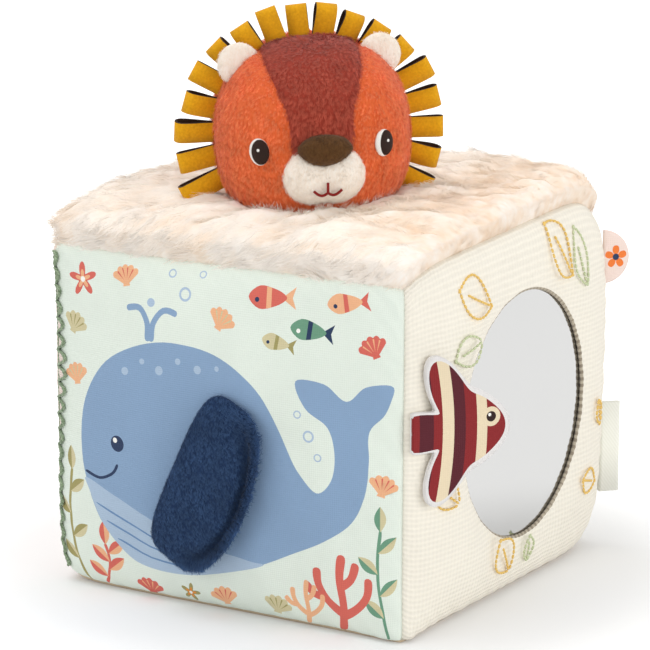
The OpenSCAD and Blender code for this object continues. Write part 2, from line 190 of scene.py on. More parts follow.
def seen_directly(tree):
    """A socket that is 1 for rays from the camera, a mirror or glass."""
    path = add(tree, "LightPath")
    shiny = add(tree, "Math", {0: path.outputs["Is Glossy Ray"], 1: path.outputs["Is Transmission Ray"]},
                operation="MAXIMUM")
    return add(tree, "Math", {0: path.outputs["Is Camera Ray"], 1: shiny.outputs[0]},
               operation="MAXIMUM").outputs[0]


sky = add(world.node_tree, "Background", {"Color": colour("#ffffff"), "Strength": WORLD_LEVEL})
backdrop = add(world.node_tree, "Background", {"Color": colour("#ffffff"), "Strength": 1.0})
shown = add(world.node_tree, "MixShader", {0: seen_directly(world.node_tree), 1: sky.outputs[0],
                                           2: backdrop.outputs[0]})
add(world.node_tree, "OutputWorld", {"Surface": shown.outputs[0]})
print(world.name, "lights the toy at", WORLD_LEVEL)

# %% Floor
GLOW_NEAR, GLOW_FAR = 0.13, 0.56
NEAR_R, FAR_R = 0.11, 0.21
FLOOR_HALF = 8.0

# Matt white studio paper: near the toy it shows the soft shadow, and a faint glow lets it end as pure white.
# The glow is weaker near the toy, which paints a soft shade round it beside the real shadow
paper, tree, shader = new_finish("studio_paper", {"Roughness": 1.0, "Specular IOR Level": 0.0})
shader.inputs["Base Color"].default_value = colour("#ebebeb")
shader.inputs["Emission Color"].default_value = colour("#ffffff")
place = add(tree, "TexCoord").outputs["Object"]
from_toy = add(tree, "VectorMath", {0: place}, operation="LENGTH")
fade = add(tree, "MapRange", {"Value": from_toy.outputs["Value"], "From Min": NEAR_R, "From Max": FAR_R,
                              "To Min": GLOW_NEAR, "To Max": GLOW_FAR}, interpolation_type="SMOOTHSTEP")
glow = add(tree, "Math", {0: seen_directly(tree), 1: fade.outputs[0]}, operation="MULTIPLY")
tree.links.new(glow.outputs[0], shader.inputs["Emission Strength"])

bm = bmesh.new()
bmesh.ops.create_grid(bm, x_segments=2, y_segments=2, size=FLOOR_HALF)
floor_mesh = bpy.data.meshes.new("floor")
bm.to_mesh(floor_mesh)
bm.free()
floor_mesh.materials.append(paper)
floor = bpy.data.objects.new("floor", floor_mesh)
scene.collection.objects.link(floor)
floor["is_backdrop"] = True
print("floor", [round(x, 1) for x in floor.dimensions])


# %% Lamps
def soft_lamp(name, place, width, power):
    """A square area lamp that faces the cube."""
    data = bpy.data.lights.new(name, "AREA")
    data.size = width
    data.energy = power
    lamp = bpy.data.objects.new(name, data)
    lamp.location = place
    lamp.rotation_euler = (LOOK_AT - lamp.location).to_track_quat("-Z", "Y").to_euler()
    scene.collection.objects.link(lamp)


soft_lamp("key", (-0.45, -0.1, 2.2), 1.5, 17.5)
soft_lamp("fill", (1.9, -0.3, 0.4), 1.4, 13.5)
soft_lamp("front_fill", (-1.0, -1.9, 0.7), 1.4, 6.6)

# %% [markdown]
# ## From a bmesh to a piece
#
# Every piece ends the same way: its mesh is scaled to metres, gets its finish, rides on its body and stands
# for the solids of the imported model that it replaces. A thin cloth also gets a wall from Solidify, so that
# its mesh is closed.

# %% Piece helpers
def dress(name, mesh, body, finishes, stands_for=(), wall=0.0):
    """Makes an object of a mesh in metres and joins it to its body."""
    mesh.shade_smooth()
    for finish in finishes:
        mesh.materials.append(finish)
    piece = bpy.data.objects.new(name, mesh)
    scene.collection.objects.link(piece)
    if wall:
        cloth = piece.modifiers.new("cloth", "SOLIDIFY")
        cloth.thickness = wall * MM
        cloth.offset = -1
    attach(piece, body)
    if stands_for:
        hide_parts(*stands_for)
    print(f"{name}: {len(mesh.polygons)} faces on {body}")
    return piece


def to_piece(name, bm, body, finishes, stands_for=(), wall=0.0):
    """Turns a bmesh in millimetres into a piece."""
    bmesh.ops.scale(bm, vec=(MM, MM, MM), verts=bm.verts)
    mesh = bpy.data.meshes.new(name)
    bm.to_mesh(mesh)
    bm.free()
    return dress(name, mesh, body, finishes, stands_for, wall)


def move_points(bm, rule):
    """Moves all vertices at once by a rule that takes and gives an array of points."""
    points = rule(np.array([v.co for v in bm.verts]))
    for vert, point in zip(bm.verts, points):
        vert.co = point


# %% [markdown]
# ## Cut cloth with a print
#
# A printed panel is one piece of cloth with inks on it, not cloth with paper shapes glued on top.
# So the print's outlines become edges of the cloth itself: a constrained triangulation cuts the flat panel
# along every outline, and each triangle keeps the ink of the topmost shape that it lies in.
# The flat places also go into a map, because threads run along the cut and not along the room's axes.

# %% Rings
def ring_of(points, steps=6):
    """A smooth closed curve through a few points."""
    here = np.array(points, float)
    before, after, beyond = np.roll(here, 1, 0), np.roll(here, -1, 0), np.roll(here, -2, 0)
    turns = []
    for t in np.arange(steps) / steps:
        turns.append(here + (after - before) * t / 2
                     + (before - 2.5 * here + 2 * after - beyond / 2) * t ** 2
                     + (1.5 * here - before / 2 - 1.5 * after + beyond / 2) * t ** 3)
    return np.stack(turns, 1).reshape(-1, 2)


def placed(ring, x, z, degrees=0.0, size=1.0):
    """A flat shape scaled, turned and shifted on the cut."""
    a = math.radians(degrees)
    turn = np.array([[math.cos(a), math.sin(a)], [-math.sin(a), math.cos(a)]])
    return np.asarray(ring, float) * size @ turn + (x, z)


def anticlockwise(ring):
    """The ring in the order that the triangulation expects."""
    x, y = np.asarray(ring, float).T
    area = (x * np.roll(y, -1) - y * np.roll(x, -1)).sum()
    return ring if area > 0 else ring[::-1]


print("a ring through four points has", len(ring_of([(1, 0), (0, 1), (-1, 0), (0, -1)])), "points")

# %% Cut cloth
MERGE_GAP = 1e-4


def cut_cloth(outline, ground, prints, fill, hole=None, framed=False):
    """A flat bmesh cut along its outline, its printed shapes and its hole; fill gives inner points.

    With framed, the first printed shape is a frame that no other ink leaves.
    """
    rings = [outline] + [shape for shape, ink in prints]
    inks = [colour(ground)] + [colour(ink) for shape, ink in prints]
    if hole is not None:
        rings.append(hole)
    points = [Vector((p[0], p[1])) for p in fill]
    faces = []
    for ring in rings:
        faces.append(list(range(len(points), len(points) + len(ring))))
        points += [Vector((p[0], p[1])) for p in anticlockwise(ring)]
    corners, _, triangles, _, _, origins = delaunay_2d_cdt(points, [], faces, 0, MERGE_GAP)
    bm = bmesh.new()
    ink_and_shade_layer = bm.loops.layers.float_color.new("ink")
    cut_map = bm.loops.layers.uv.new("cut")
    verts = [bm.verts.new((p.x, p.y, 0)) for p in corners]
    for triangle, origin in zip(triangles, origins):
        if 0 not in origin or (hole is not None and len(rings) - 1 in origin):
            continue
        face = bm.faces.new([verts[k] for k in triangle])
        top_ink = 0 if framed and 1 not in origin else max(origin)
        for loop in face.loops:
            loop[ink_and_shade_layer] = inks[top_ink]
            loop[cut_map].uv = loop.vert.co.xy * MM
    bmesh.ops.delete(bm, geom=[v for v in bm.verts if not v.link_faces], context="VERTS")
    return bm


swatch = cut_cloth([(0, 0), (2, 0), (2, 2), (0, 2)], "#ffffff", [], [(1, 1)])
print("a square swatch with one inner point has", len(swatch.faces), "triangles")
swatch.free()

# %% [markdown]
# ## The shape of the cube's sides
#
# Foam pushes each panel out into a low crown, the sewn edges stay nearly square, and the cloth dips into
# each seam with small puckers beside it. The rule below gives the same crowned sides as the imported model,
# from flat places on the cut, and adds the dip, the puckers and a few soft folds. A cloth simulation could
# swell the cover too, but it would round off the printed edges, and these forms are known from the seams.

# %% Folds in the sides
HALF_W, HALF_H, MID_Z = 77.0, 67.5, 66.0
# Puckers: height, turn per millimetre along the cut, how they wander, and where they start and fade
PUCKER, PUCKER_TURN, PUCKER_WANDER, WANDER_TURN = 0.5, 0.62, 1.7, 0.11
PUCKER_START, PUCKER_FADE = 2.0, 7.0
# Folds: height, width, how much taller than wide they are, where they start, and the noise that draws them
FOLD, FOLD_SIZE, FOLD_STRETCH, FOLD_START = 1.5, 38.0, 1.6, 10.0
FOLD_NOISE, FOLD_SHIFT = (0.8, 2.1, 3), 3.7


def cloth_folds(flat, to_seam, side):
    """How far the cloth stands off its smooth crown, from puckers at the seams and soft folds."""
    along = flat[:, 0] + flat[:, 1]
    pucker = PUCKER * np.sin(PUCKER_TURN * along + PUCKER_WANDER * np.sin(WANDER_TURN * along + side))
    pucker *= np.exp(-to_seam / PUCKER_FADE) * (1 - np.exp(-to_seam / PUCKER_START))
    scale = np.array((FOLD_SIZE, FOLD_SIZE * FOLD_STRETCH))
    folds = np.array([noise.fractal(Vector((*place, FOLD_SHIFT * side)), *FOLD_NOISE)
                      for place in flat / scale])
    return pucker + FOLD * folds * (1 - np.exp(-to_seam / FOLD_START))


print("puckers come about every", round(math.tau / PUCKER_TURN, 1), "mm")

# %% Sag of the cover
TOP_FLARE, EDGE_BULGE, LEFT_SLUMP, SLUMP_TOP, EDGE_FOCUS = 0.01, 2.2, 1.5, 0.5, 8
CORNER_POWER, CORNER_SOFT, CORNER_LIMIT = 9, 0.848, 1.1
# How far each corner is pulled in: low or top, then left or right, then front or back
CORNER_PULL = np.array([[[1.0, 3.0], [-1.5, 3.0]], [[-1.2, -1.2], [0.0, 1.0]]])
RISE, RISE_SLOPE, RISE_FROM, RISE_END_POWER = 7.4, 0.05, 0.72, 7
FLOOR_GAP = 0.05


def settle(points):
    """The filled cover's own sag: a wider top, two fuller edges, and corners pulled in or out."""
    x, y, z = points.T
    across, deep, up = x / HALF_W, y / HALF_W, (z - MID_Z) / HALF_H
    corner = np.minimum(np.abs(across * deep * up) / CORNER_SOFT, CORNER_LIMIT) ** CORNER_POWER
    pull = corner * CORNER_PULL[(up > 0).astype(int), (across > 0).astype(int), (deep > 0).astype(int)]
    back_right = (np.clip(across, 0, 1) * np.clip(deep, 0, 1)) ** EDGE_FOCUS
    front_left = (np.clip(-across, 0, 1) * np.clip(-deep, 0, 1)) ** EDGE_FOCUS
    bulge = EDGE_BULGE * back_right * np.clip(1 - up ** 2, 0, 1)
    bulge = bulge - LEFT_SLUMP * front_left * np.clip(SLUMP_TOP - up, 0, 1)
    wide = 1 + TOP_FLARE * up
    return np.stack([x * wide - np.sign(x) * pull + bulge, y * wide - np.sign(y) * pull + bulge,
                     np.maximum(z - np.sign(up) * pull, FLOOR_GAP)], 1)


def smooth_step(t):
    """A smooth change from 0 to 1."""
    t = np.clip(t, 0, 1)
    return t * t * (3 - 2 * t)


def panel_rise(across, up):
    """The mirror panel's top edge is pushed up by the stuffing, most of all toward the back."""
    share = smooth_step((up / HALF_H - RISE_FROM) / (1 - RISE_FROM))
    return (RISE + RISE_SLOPE * across) * (1 - np.abs(across / HALF_W) ** RISE_END_POWER) * share


print("the mirror panel's top edge rises by", panel_rise(0.0, HALF_H), "mm in its middle")

# %% Side surface
EDGE_POWER, CROWN_POWER = 20, 2.5
SIDE_CROWN, WINDOW_CROWN = 8.0, 11.0
SEAM_DIP, SEAM_WIDTH = 0.5, 1.5
FRONT, RIGHT, BACK, LEFT = range(4)


def edge_divisor(u, v):
    """What a place at shares u and v of a side is divided by, so that the sewn edges come out rounded."""
    return (np.abs(u) ** EDGE_POWER + 1 + np.abs(v) ** EDGE_POWER) ** (1 / EDGE_POWER)


def seam_dip(to_seam):
    """How deep the cloth dips at a distance from its seam."""
    return SEAM_DIP * np.exp(-(to_seam / SEAM_WIDTH) ** 2)


def on_side(flat, side, lift=0.0):
    """Flat places on a panel's cut as places on that side of the cube."""
    u, v = np.clip(flat[:, 0] / HALF_W, -1, 1), np.clip(flat[:, 1] / HALF_H, -1, 1)
    to_seam = np.minimum((1 - np.abs(u)) * HALF_W, (1 - np.abs(v)) * HALF_H)
    divisor, dip = edge_divisor(u, v), seam_dip(to_seam)
    crown = WINDOW_CROWN if side == RIGHT else SIDE_CROWN
    out = crown * (1 - np.abs(u) ** CROWN_POWER) * (1 - np.abs(v) ** CROWN_POWER)
    out = out + cloth_folds(flat[:, :2], to_seam, side) + lift
    x = (HALF_W - dip) * u / divisor
    y = -(HALF_W - dip) / divisor - out
    z = MID_Z + (HALF_H - dip) * v / divisor
    if side == RIGHT:
        z = z + panel_rise(flat[:, 0], flat[:, 1])
    cos, sin = math.cos(math.pi / 2 * side), math.sin(math.pi / 2 * side)
    return settle(np.stack([x * cos - y * sin, x * sin + y * cos, z], 1))


def graded(half, count):
    """Ticks from edge to edge that lie closer together next to the seams."""
    t = np.linspace(-1, 1, count)
    return half * (t + np.sin(t * math.pi / 2)) / 2


PANEL_FILL = np.array([(x, z) for x in graded(HALF_W, 57) for z in graded(HALF_H, 51)])
PANEL_EDGE = [(-HALF_W, -HALF_H), (HALF_W, -HALF_H), (HALF_W, HALF_H), (-HALF_W, HALF_H)]
middle = on_side(np.zeros((1, 2)), FRONT)[0]
print("middle of the front panel:", [round(x, 1) for x in middle])

# %% [markdown]
# ## Cotton finishes
#
# The printed panels are plain woven cotton: two sets of threads cross, and ink sits in the fibres, so the
# colour stays matt and slightly uneven. The mirror panel is a waffle weave with low ribs across and weaker
# ones down. The plain weave's real threads are near 0.35 mm, too fine to show, so they are drawn at 0.8 mm.

# %% Cotton
THREAD, RIB, RIB_ACROSS = 0.8, 1.9, 2.1


def cotton(name, down, across, strengths, bump):
    """Woven cotton whose ink comes from the cut; down and across are its thread spacings."""
    material, tree, shader = new_finish(name, {"Roughness": 0.88, "Sheen Weight": 0.12,
                                               "Sheen Roughness": 0.6, "Specular IOR Level": 0.25})
    cut = add(tree, "UVMap", uv_map="cut").outputs[0]
    weft = add(tree, "TexWave", {"Vector": cut, "Scale": bands(down), "Distortion": 0.35,
                                 "Detail Scale": grains(40) / bands(down)}, bands_direction="Y")
    warp = add(tree, "TexWave", {"Vector": cut, "Scale": bands(across), "Distortion": 0.35,
                                 "Detail Scale": grains(40) / bands(across)}, bands_direction="X")
    place = add(tree, "TexCoord").outputs["Object"]
    slub = add(tree, "TexNoise", {"Vector": place, "Scale": grains(1.6), "Detail": 3.0})
    cloud = add(tree, "TexNoise", {"Vector": place, "Scale": grains(28), "Detail": 2.0})
    ribs = add(tree, "Math", {0: weft.outputs["Fac"], 1: strengths[0]}, operation="MULTIPLY")
    relief = add(tree, "Math", {0: warp.outputs["Fac"], 1: strengths[1], 2: ribs.outputs[0]},
                 operation="MULTIPLY_ADD")
    rough = add(tree, "Math", {0: slub.outputs["Fac"], 1: 0.35, 2: relief.outputs[0]},
                operation="MULTIPLY_ADD")
    ink = add(tree, "VertexColor", layer_name="ink").outputs["Color"]
    worn = add(tree, "Math", {0: cloud.outputs["Fac"], 1: 0.10, 2: 0.93}, operation="MULTIPLY_ADD")
    # Painted shade in the weave's grooves, on top of slubs and broad clouds of wear
    grooves = add(tree, "Math", {0: rough.outputs[0], 1: 0.07, 2: worn.outputs[0]}, operation="MULTIPLY_ADD")
    shade = add(tree, "Mix", {0: 1.0, 6: ink, 7: grooves.outputs[0]}, data_type="RGBA", blend_type="MULTIPLY")
    weave = add(tree, "Bump", {"Height": rough.outputs[0], "Strength": bump, "Distance": 0.3 * MM})
    tree.links.new(shade.outputs[2], shader.inputs["Base Color"])
    tree.links.new(weave.outputs[0], shader.inputs["Normal"])
    return material


printed_cotton = cotton("printed_plain_weave_cotton", THREAD, THREAD, (0.5, 0.5), 0.35)
waffle_cotton = cotton("waffle_weave_cotton", RIB, RIB_ACROSS, (1.0, 0.45), 0.75)
print("finishes", printed_cotton.name, waffle_cotton.name)

# %% [markdown]
# ## The printed front
#
# The front shows a big blue whale that swims to the left over coral and kelp, with a school of small fish,
# shells, sea stars and bubbles around it. The lift flap is its fin. Each shape is a ring of a few points made
# smooth. The order matters: a later shape lies over an earlier one.

# %% Print shapes
MINT, SLATE, PALE_SLATE, NAVY = "#e6efe4", "#8aa6c6", "#aec3d9", "#27395a"
CORAL, PEACH, OLIVE, SAND = "#d9695c", "#f0b58a", "#a39a62", "#d3c9a0"
SAGE, ORANGE_INK, WHITE_INK, DEEP_SLATE = "#6c9b80", "#e58f3a", "#fbfaf4", "#6d8fb8"

LEAF_LENGTH, LEAF_WIDTH = 9.6, 4.6
across_leaf = np.linspace(-1, 1, 9)
upper_edge = np.stack([across_leaf * LEAF_LENGTH / 2, (1 - across_leaf ** 2) * LEAF_WIDTH / 2], 1)
leaf_ring = np.concatenate([upper_edge, -upper_edge[1:-1]])
round_turns = np.linspace(0, math.tau, 20, endpoint=False)
round_ring = np.stack([np.cos(round_turns), np.sin(round_turns)], 1)

STAR_ARMS, STAR_WAIST, STAR_ARM, STAR_MIDDLE, STAR_DOT = 5, 0.66, 0.34, 0.55, 0.16
star_turns = np.linspace(0, math.tau, 50, endpoint=False)
star_reach = STAR_WAIST + STAR_ARM * np.cos(STAR_ARMS * star_turns)
star_ring = np.stack([star_reach * np.sin(star_turns), star_reach * np.cos(star_turns)], 1)

SHELL_R, SHELL_FAN, SHELL_LOBES, LOBE_DEPTH = 7.2, 2.2, 5, 0.12
fan_share = np.linspace(0, 1, 6 * SHELL_LOBES + 1)
fan_reach = SHELL_R * (1 - LOBE_DEPTH + LOBE_DEPTH * np.abs(np.sin(SHELL_LOBES * math.pi * fan_share)))
fan_angle = SHELL_FAN * (fan_share - 0.5)
fan_edge = np.stack([fan_reach * np.sin(fan_angle), fan_reach * np.cos(fan_angle) - SHELL_R / 2], 1)
shell_foot = np.array([(1.4, 0), (1.6, -1), (-1.6, -1), (-1.4, 0)]) - (0, SHELL_R / 2)
shell_ring = np.concatenate([fan_edge, shell_foot])
shell_rib = np.array([(0.0, 1.4), (0.32, 0.8 * SHELL_R), (0.0, 0.84 * SHELL_R), (-0.32, 0.8 * SHELL_R)])

print("leaf", len(leaf_ring), "points, star", len(star_ring), "points")


# %% Print motifs
def line_of(points, width):
    """A drawn line of even width through a few points."""
    path = np.array(points, float)
    along = np.gradient(path, axis=0)
    along /= np.linalg.norm(along, axis=1)[:, None]
    side = np.stack([-along[:, 1], along[:, 0]], 1) * width / 2
    return ring_of(np.concatenate([path + side, (path - side)[::-1]]), 4)


def dot(x, z, radius, ink):
    """A round spot of ink."""
    return placed(round_ring, x, z, 0, radius), ink


def leaf(x, z, degrees, inks, size=1.0):
    """A two-tone leaf: the whole outline in one ink and half of it in the other."""
    return [(placed(ring, x, z, degrees, size), ink) for ring, ink in zip((leaf_ring, upper_edge), inks)]


def star(x, z, radius, inks, degrees=0.0):
    """A sea star with rounded arms, a paler middle and a dot."""
    return [(placed(star_ring, x, z, degrees, radius), inks[0]),
            (placed(star_ring, x, z, degrees, radius * STAR_MIDDLE), inks[1]),
            dot(x, z, radius * STAR_DOT, inks[2])]


def shell(x, z, degrees, inks, size=1.0):
    """A scallop shell: a lobed fan in one ink with a thin rib between each two lobes in the other."""
    shapes = [(placed(shell_ring, x, z, degrees, size), inks[0])]
    for k in range(1, SHELL_LOBES):
        lean = -math.degrees(SHELL_FAN * (k / SHELL_LOBES - 0.5))
        rib = placed(shell_rib, 0, -SHELL_R / 2, lean)
        shapes.append((placed(rib, x, z, degrees, size), inks[1]))
    return shapes


print("one shell has", len(shell(0, 0, 0, (PEACH, CORAL))), "shapes")

# %% Kelp, coral, bubbles and fish
STEM_WIDTH, STEM_TURN, BLADE_TURN = 1.2, 2.4, 52
CORAL_WIDTH, BUBBLE_INSIDE = 2.6, 0.68
coral_branches = [[(0, 0), (0.4, 9), (-0.6, 18), (0.2, 25)], [(0, 6), (-5, 10), (-8, 15), (-8.4, 20)],
                  [(0, 5), (5, 8.5), (8.6, 13), (9.4, 18.5)], [(-0.4, 15), (3.2, 18), (5, 23)],
                  [(-5.6, 11), (-9.6, 11.6), (-12.6, 14.5)]]
fish_body = ring_of([(7, 0), (3, 3.6), (-3, 2.6), (-6.5, 0.7), (-6.5, -0.7), (-3, -2.6), (3, -3.6)], 4)
fish_tail = [(-5.2, 0), (-10, 3.6), (-8.8, 0), (-10, -3.6)]
fish_stripe = [(-1.4, -3.1), (0.4, -3.4), (0.4, 3.4), (-1.4, 3.1)]
FISH_EYE_AT, FISH_EYE_R = (3.8, 0.8), 0.8


def kelp(x, z, height, bend, inks):
    """A strand of kelp: a bent stem with two-tone blades to both sides and one at the tip."""
    stem = [(x + bend * math.sin(STEM_TURN * t), z + height * t) for t in np.linspace(0, 1, 6)]
    shapes = [(line_of(stem, STEM_WIDTH), inks[1])]
    for k, foot in enumerate(stem[1:]):
        degrees = 90 if k == len(stem) - 2 else 90 + BLADE_TURN * (-1) ** k
        way = np.array((math.cos(math.radians(degrees)), math.sin(math.radians(degrees))))
        shapes += leaf(*(np.array(foot) + way * LEAF_LENGTH / 2), degrees, inks)
    return shapes


def coral(x, z, size, ink):
    """A branching coral of thick round-ended lines that all start from one trunk."""
    return [(placed(line_of(branch, CORAL_WIDTH), x, z, 0, size), ink) for branch in coral_branches]


def bubble(x, z, radius):
    """A ring of pale ink with the cloth showing inside."""
    return [dot(x, z, radius, PALE_SLATE), dot(x, z, BUBBLE_INSIDE * radius, MINT)]


def small_fish(x, z, size, degrees, inks):
    """A little fish with a tail, one stripe and a dot eye."""
    parts = ((fish_tail, inks[1]), (fish_body, inks[0]), (fish_stripe, inks[1]))
    eye_at = placed([FISH_EYE_AT], x, z, degrees, size)[0]
    shapes = [(placed(ring, x, z, degrees, size), ink) for ring, ink in parts]
    return shapes + [dot(*eye_at, FISH_EYE_R * size, inks[2])]


print("one strand of kelp has", len(kelp(0, 0, 40, 4, (SAND, SAGE))), "shapes")

# %% Outlines of the front print
# Every place is across the front from its middle, and a height over the floor
whale = ring_of([
    (-60.5, 56), (-57.5, 75), (-47, 90.5), (-28, 99.5), (-8, 100.5), (9, 96), (21, 86.5), (29, 74), (36, 61),
    (43.5, 53.5), (49, 58.5), (50.3, 69), (47.5, 78), (39, 84), (35, 93.5), (46, 93.5), (54.5, 88),
    (62, 94), (72.5, 95), (69.5, 85), (63.5, 78), (63.5, 67), (62, 54.5), (56.5, 43.5), (46, 35.5), (33, 29),
    (18, 22), (0, 16), (-20, 12.5), (-38, 14.5), (-50, 24.5), (-57.5, 39)])
belly = ring_of([
    (-58.6, 44), (-44, 38.5), (-26, 31.5), (-6, 26), (14, 23.5), (20, 22.4), (0, 15.9), (-20, 12.5),
    (-38, 14.5), (-50, 24.5), (-57.5, 39)])
# The first of three grooves along the belly, and the way from each to the next
GROOVE = np.array([(-52, 34), (-30, 26), (-8, 20.6)])
GROOVE_STEP = np.array([(4, -6.2), (0, -4.4), (0, -2.4)])
GROOVE_WIDTH, SMILE_WIDTH, SPOUT_WIDTH, SEABED = 0.7, 1.1, 2.2, 1.5
SMILE = [(-58.3, 46.5), (-52, 45), (-46, 47.5), (-43.5, 51)]
SPOUTS = [[(-28, 101), (-28.5, 107), (-32, 112), (-37.5, 111.5)],
          [(-26.5, 101), (-26, 107), (-22, 112), (-16.5, 111.5)]]
# Radius comes third for a speckle or a bubble; for a shell the turn in degrees, and then its pair of inks
SPECKLES = [(-38, 88, 1.5), (-30.5, 92.5, 1.1), (-23, 90, 1.7), (-14.5, 94.5, 1.2), (-6, 92.5, 1.6),
            (2.5, 94, 1.0)]
BUBBLES = [(-13, 119, 2.6), (-19.5, 126, 1.7), (-6.5, 127, 1.5), (40.5, 74, 2.2), (36, 81.5, 1.5),
           (44, 66.5, 1.5)]
SHELLS = [(-40, 123.5, 14, 0), (-62.5, 103, -22, 1), (64, 109, 26, 2), (-62.5, 84, 12, 3), (69.2, 59, -16, 0),
          (-33, 4.8, -8, 2), (1, 7.4, 10, 0), (25, 8, -14, 1), (4, 112.5, -24, 3)]
SHELL_INKS = [(PEACH, CORAL), (SAND, OLIVE), (CORAL, PEACH), (PEACH, SAND)]
print("the whale's outline has", len(whale), "points")

# %% Front print
front_print = kelp(-63, SEABED, 44, -5, (SAND, OLIVE)) + kelp(-54.5, SEABED, 17, 4, (PEACH, CORAL))
front_print += kelp(70.5, SEABED, 40, -4, (SAND, SAGE))
front_print += coral(52, SEABED, 1.15, CORAL) + coral(37.5, SEABED, 0.7, PEACH)
front_print += [(whale, SLATE), (belly, PALE_SLATE)]
front_print += [(line_of(GROOVE + k * GROOVE_STEP, GROOVE_WIDTH), DEEP_SLATE) for k in range(3)]
front_print.append((line_of(SMILE, SMILE_WIDTH), NAVY))
front_print += [dot(-43, 59.5, 3.1, NAVY), dot(-44, 60.7, 1.0, WHITE_INK)]
front_print += [(line_of(spout, SPOUT_WIDTH), SLATE) for spout in SPOUTS]
front_print.append(dot(-27.3, 114.5, 1.6, PALE_SLATE))
front_print += [dot(*speckle, PALE_SLATE) for speckle in SPECKLES]
for place in BUBBLES:
    front_print += bubble(*place)
front_print += star(-59.5, 119, 6.6, (CORAL, PEACH, WHITE_INK), 8)
front_print += star(-14, 5.6, 4.4, (OLIVE, ORANGE_INK, WHITE_INK), -12)
front_print += small_fish(22, 122, 1.15, 184, (CORAL, PEACH, NAVY))
front_print += small_fish(39, 112, 1.0, 176, (SAGE, NAVY, WHITE_INK))
front_print += small_fish(52.5, 123, 1.0, 190, (PEACH, CORAL, NAVY))
front_print += small_fish(26.5, 106.5, 0.8, 172, (SAND, OLIVE, NAVY))
for x, z, degrees, inks in SHELLS:
    front_print += shell(x, z, degrees, SHELL_INKS[inks])
front_print = [(np.asarray(shape) - (0, MID_Z), ink) for shape, ink in front_print]
print("the front print has", len(front_print), "shapes")

# %% Front panel
PANEL_WALL = 0.9


def side_panel(name, side, ground, prints, stands_for):
    """One printed side of the cover, cut flat and laid over the crowned foam."""
    bm = cut_cloth(PANEL_EDGE, ground, prints, PANEL_FILL)
    move_points(bm, lambda flat: on_side(flat, side))
    panel = to_piece(name, bm, "cube", [printed_cotton], stands_for, PANEL_WALL)


side_panel("front_panel_cloth", FRONT, MINT, front_print, ["front_panel", "foam_core"])

# %% [markdown]
# ## The left, back and under sides
#
# These are out of the photograph's sight, apart from a pale pink strip beside the trim. They are the same
# cotton with a quiet print of leaves, and the underside is plain tan cotton pressed flat on the floor.

# %% Plain sides
LEAF_ROWS, LEAF_STEP, ROW_STEP, ROW_SHIFT = 5, 27, 24, 7
FIRST_X, FIRST_Z, LEAF_TURN, ROW_TURN = -54, -50, 47, 73
BLUSH, OATMEAL, TAN = "#f3e2d9", "#f1ebdc", "#d8c3a5"


def leaf_rows(inks, size):
    """Leaves in loose rows, each turned a little more than the one before."""
    shapes = []
    for row in range(LEAF_ROWS):
        for place in range(LEAF_ROWS):
            x = FIRST_X + LEAF_STEP * place + ROW_SHIFT * (row % 2)
            turn = LEAF_TURN * place + ROW_TURN * row
            shapes += leaf(x, FIRST_Z + ROW_STEP * row, turn, inks[(row + place) % len(inks)], size)
    return shapes


left_print = leaf_rows([(PEACH, CORAL), (WHITE_INK, SAND)], 0.9)
side_panel("left_panel_cloth", LEFT, BLUSH, left_print, ["left_panel"])
back_print = leaf_rows([(SAGE, SAND), (SAND, OLIVE), (PALE_SLATE, SLATE)], 1.0)
side_panel("back_panel_cloth", BACK, OATMEAL, back_print, ["back_panel"])


# %% Underside
def on_base(flat):
    """Flat places as places on the underside, flat where it meets the floor."""
    u, v = flat[:, 0] / HALF_W, flat[:, 1] / HALF_W
    divisor = edge_divisor(u, v)
    dip = seam_dip(np.minimum(1 - np.abs(u), 1 - np.abs(v)) * HALF_W)
    z = np.maximum(FLOOR_GAP, MID_Z - (HALF_H - dip) / divisor)
    return settle(np.stack([(HALF_W - dip) * u / divisor, (HALF_W - dip) * v / divisor, z], 1))


BASE_EDGE = [(-HALF_W, -HALF_W), (HALF_W, -HALF_W), (HALF_W, HALF_W), (-HALF_W, HALF_W)]
bm = cut_cloth(BASE_EDGE, TAN, [], [(x, y) for x in graded(HALF_W, 33) for y in graded(HALF_W, 33)])
move_points(bm, on_base)
bmesh.ops.reverse_faces(bm, faces=bm.faces)
base = to_piece("base_panel_cloth", bm, "cube", [printed_cotton], ["base_panel"], PANEL_WALL)

# %% [markdown]
# ## The mirror panel
#
# The window is a round hole whose edge is turned in and gathered down to the mirror sheet. The flat panel is
# cut with the hole, and the hole's own edge is then extruded three times: over the lip, down the wall, and
# under the edge of the mirror. Small radial gathers fade out within a few millimetres of the lip.

# %% Window side
WINDOW_AT, WINDOW_R = np.array((3.7, 3.0)), 47.0
MIRROR_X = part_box("mirror_disc")[1].x / MM
GATHERS, BROAD_GATHERS, GATHER_DEPTH, GATHER_FADE, BROAD_FADE = 110, 22, 0.12, 3, 7
LIP_HEIGHT, LIP_SLOPE, LIP_POWER = 1.5, 9.0, 1.3


def on_window_side(flat):
    """The mirror panel's surface, which sinks to the window's lip and has gathers round it."""
    spoke = flat[:, :2] - WINDOW_AT
    length = np.linalg.norm(spoke, axis=1)
    away = np.maximum(length - WINDOW_R, 0)
    angle = np.arctan2(spoke[:, 1], spoke[:, 0])
    gather = np.sin(GATHERS * angle) * np.exp(-away / GATHER_FADE)
    gather = gather + np.sin(BROAD_GATHERS * angle) * np.exp(-away / BROAD_FADE)
    rim = WINDOW_AT + spoke * (WINDOW_R / length)[:, None]
    sink = (on_side(rim, RIGHT)[:, 0] - MIRROR_X - LIP_HEIGHT) * np.exp(-(away / LIP_SLOPE) ** LIP_POWER)
    return on_side(flat, RIGHT, GATHER_DEPTH * gather - sink)


print("the mirror's face is at x =", round(MIRROR_X, 1), "mm")

# %% Mirror panel
LIP_ROOM, LIP_RINGS, RING_STEPS = 9, (0.7, 1.6, 3.0, 5.0, 7.5), 440
